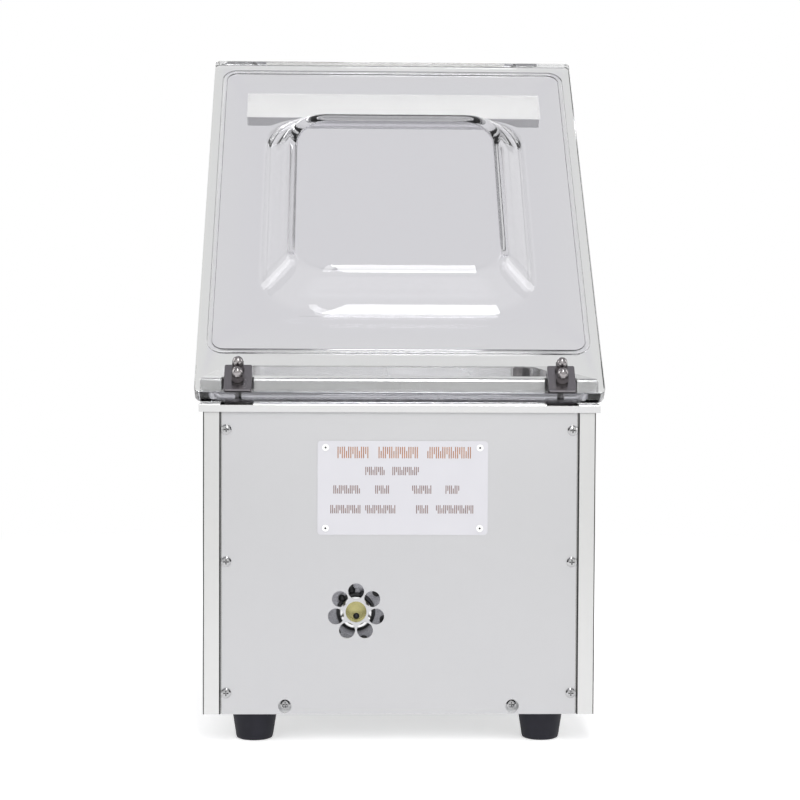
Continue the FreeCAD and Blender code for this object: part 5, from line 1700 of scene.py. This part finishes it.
@dataclass(frozen=True)
class Softbox:
    """A plain soft light: a rectangle that shines at a point."""

    name: str
    place: Point
    target: Point
    width: float
    height: float
    radiance: float

    def hang(self) -> None:
        """Hang the light. Its power is its radiance times pi times its area."""
        data = bpy.data.lights.new(self.name, "AREA")
        data.shape = "RECTANGLE"
        data.size, data.size_y = self.width, self.height
        data.energy = self.radiance * math.pi * self.width * self.height
        lamp = bpy.data.objects.new(self.name, data)
        bpy.context.scene.collection.objects.link(lamp)
        aim = np.array(self.target) - np.array(self.place)
        away = math.atan2(math.hypot(aim[0], aim[1]), -aim[2])
        lamp.location = self.place
        lamp.rotation_euler = (away, 0.0, math.atan2(aim[1], aim[0]) - math.pi / 2)
        lamp.visible_camera = False


@dataclass
class Studio:
    """The pale floor, the soft light and the camera behind the machine."""

    eye: Point = (0.0505, 1.9385, 0.3559)
    yaw: float = 1.693
    pitch: float = 2.377
    roll: float = 0.268
    lens: float = 93.54
    floor_half: float = 60.0
    paper_near: float = 0.5
    paper_far: float = 1.5
    horizon: Colour = (1.0, 1.0, 1.0)
    zenith: Colour = (0.46, 0.46, 0.48)
    sky_from: float = 0.30
    sky_to: float = 0.90
    paper: Colour = (0.80, 0.80, 0.80)
    paper_glow: Colour = (0.44, 0.44, 0.44)
    middle: Point = (0.0, 0.0, 0.3)
    flag_far: float = 1.7
    flag_half: float = 0.22
    flag_tall: float = 1.4
    flag_turn: float = 62.0

    def floor(self) -> None:
        """Lay the floor: a wide square of pale paper, which turns with its distance from the
        machine into the sky's own white, so that the two meet without a line."""
        half = self.floor_half
        corners = [(-half, -half, 0.0), (half, -half, 0.0), (half, half, 0.0), (-half, half, 0.0)]
        mesh = bpy.data.meshes.new("floor")
        mesh.from_pydata(corners, [], [(0, 1, 2, 3)])
        bench = Bench("floor_paper")
        reach = bench.add("ShaderNodeVectorMath")
        reach.operation = "LENGTH"
        bench.join(bench.places, reach.inputs[0])
        fade = bench.add("ShaderNodeMapRange")
        fade.interpolation_type = "SMOOTHSTEP"
        fade.inputs["From Min"].default_value = self.paper_near
        fade.inputs["From Max"].default_value = self.paper_far
        bench.join(reach.outputs["Value"], fade.inputs["Value"])
        share = fade.outputs["Result"]
        tone = bench.between(share, self.paper, (0.0, 0.0, 0.0))
        bench.join(tone, bench.shader.inputs["Base Color"])
        glow = bench.between(share, self.paper_glow, self.horizon)
        bench.join(glow, bench.shader.inputs["Emission Color"])
        bench.fix(Roughness=0.9, Emission_Strength=1.0, Specular_IOR_Level=0.0)
        mesh.materials.append(bench.material)
        paper = bpy.data.objects.new("floor", mesh)
        bpy.context.scene.collection.objects.link(paper)

    def sky(self) -> None:
        """Light the room: white round the horizon, softly grey overhead."""
        world = bpy.data.worlds.new("studio")
        world.use_nodes = True
        tree = world.node_tree
        tree.nodes.clear()
        place = tree.nodes.new("ShaderNodeTexCoord")
        split = tree.nodes.new("ShaderNodeSeparateXYZ")
        fit = tree.nodes.new("ShaderNodeMapRange")
        fit.interpolation_type = "SMOOTHSTEP"
        fit.inputs["From Min"].default_value = self.sky_from
        fit.inputs["From Max"].default_value = self.sky_to
        mix = tree.nodes.new("ShaderNodeMix")
        mix.data_type = "RGBA"
        mix.inputs["A"].default_value = (*self.horizon, 1.0)
        mix.inputs["B"].default_value = (*self.zenith, 1.0)
        glow = tree.nodes.new("ShaderNodeBackground")
        out = tree.nodes.new("ShaderNodeOutputWorld")
        tree.links.new(place.outputs["Generated"], split.inputs["Vector"])
        tree.links.new(split.outputs["Z"], fit.inputs["Value"])
        tree.links.new(fit.outputs["Result"], mix.inputs["Factor"])
        tree.links.new(mix.outputs["Result"], glow.inputs["Color"])
        tree.links.new(glow.outputs["Background"], out.inputs["Surface"])
        bpy.context.scene.world = world

    def lights(self) -> None:
        """Hang two tall softboxes behind the machine, one in front and one at each side."""
        boxes = (
            Softbox("softbox_rear", (-0.095, 1.25, 1.37), (-0.05, 0.14, 0.40), 0.31, 1.70, 9.0),
            Softbox("softbox_strip", (0.088, 1.25, 1.37), (0.03, 0.14, 0.40), 0.035, 1.60, 4.0),
            Softbox("softbox_front", (0.9, -2.6, 1.9), self.middle, 1.4, 1.4, 2.6),
            Softbox("softbox_left", (-2.9, 0.1, 1.5), self.middle, 0.9, 1.6, 2.4),
            Softbox("softbox_right", (2.9, 0.1, 1.5), self.middle, 0.9, 1.6, 2.4),
        )
        for softbox in boxes:
            softbox.hang()

    def flags(self) -> None:
        """Stand two dark flags behind the machine, far out to the sides: only shiny edges
        that face them show them, as thin dark outlines."""
        far = self.flag_far
        up = np.array([0.0, 0.0, self.flag_tall])
        for side, turn in (("left", -self.flag_turn), ("right", self.flag_turn)):
            angle = math.radians(turn)
            middle = np.array([far * math.sin(angle), far * math.cos(angle), 0.0])
            beside = np.array([math.cos(angle), -math.sin(angle), 0.0]) * self.flag_half
            corners = [middle - beside, middle + beside, middle + beside + up, middle - beside + up]
            mesh = bpy.data.meshes.new(f"flag_{side}")
            mesh.from_pydata([tuple(c) for c in corners], [], [(0, 1, 2, 3)])
            bench = Bench(f"flag_{side}")
            cloud = bench.noise((2.0, 2.0, 2.0))
            tone = bench.between(cloud, (0.01, 0.01, 0.012), (0.015, 0.015, 0.017))
            bench.join(tone, bench.shader.inputs["Base Color"])
            bench.fix(Roughness=1.0, Specular_IOR_Level=0.0)
            mesh.materials.append(bench.material)
            flag = bpy.data.objects.new(f"flag_{side}", mesh)
            bpy.context.scene.collection.objects.link(flag)
            flag.visible_camera = flag.visible_diffuse = False
            flag.visible_shadow = flag.visible_transmission = False

    def camera(self) -> None:
        """Set up the camera: straight towards the front from behind, then yawed, tipped
        down and rolled, so that its sight line, right and up follow in turn."""
        sight, right, up = np.array([[0.0, -1, 0], [-1, 0, 0], [0, 0, 1]])
        for name, angle in (("yaw", self.yaw), ("pitch", self.pitch), ("roll", self.roll)):
            cos, sin = math.cos(math.radians(angle)), math.sin(math.radians(angle))
            if name == "yaw":
                sight, right = cos * sight + sin * right, cos * right - sin * sight
            elif name == "pitch":
                sight, up = cos * sight - sin * up, cos * up + sin * sight
            else:
                right, up = cos * right + sin * up, cos * up - sin * right
        data = bpy.data.cameras.new("camera")
        data.lens = self.lens
        data.sensor_width = 36.0
        data.clip_end = 200.0
        camera = bpy.data.objects.new("camera", data)
        bpy.context.scene.collection.objects.link(camera)
        turn = np.eye(4)
        turn[:3, :3] = np.stack([right, up, -sight], axis=-1)
        turn[:3, 3] = self.eye
        camera.matrix_world = turn.T.tolist()
        bpy.context.scene.camera = camera

    def build(self) -> None:
        """Set up floor, sky, lights and camera."""
        self.floor()
        self.sky()
        self.lights()
        self.flags()
        self.camera()
        bpy.context.scene.view_settings.view_transform = "Standard"
        log.info("studio: floor, sky, softboxes, flags, camera")


def main() -> None:
    """Load the frame, dress each sub-assembly in turn and set up the studio."""
    logging.basicConfig(level=logging.INFO, format="%(name)s: %(message)s")
    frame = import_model()
    shop = Workshop(frame, Palette())
    for part in (LidAssembly(), Case(), SealingSet(), ControlPanel(), Works()):
        part.build(shop)
    Studio().build()


if __name__ == "__main__":
    main()
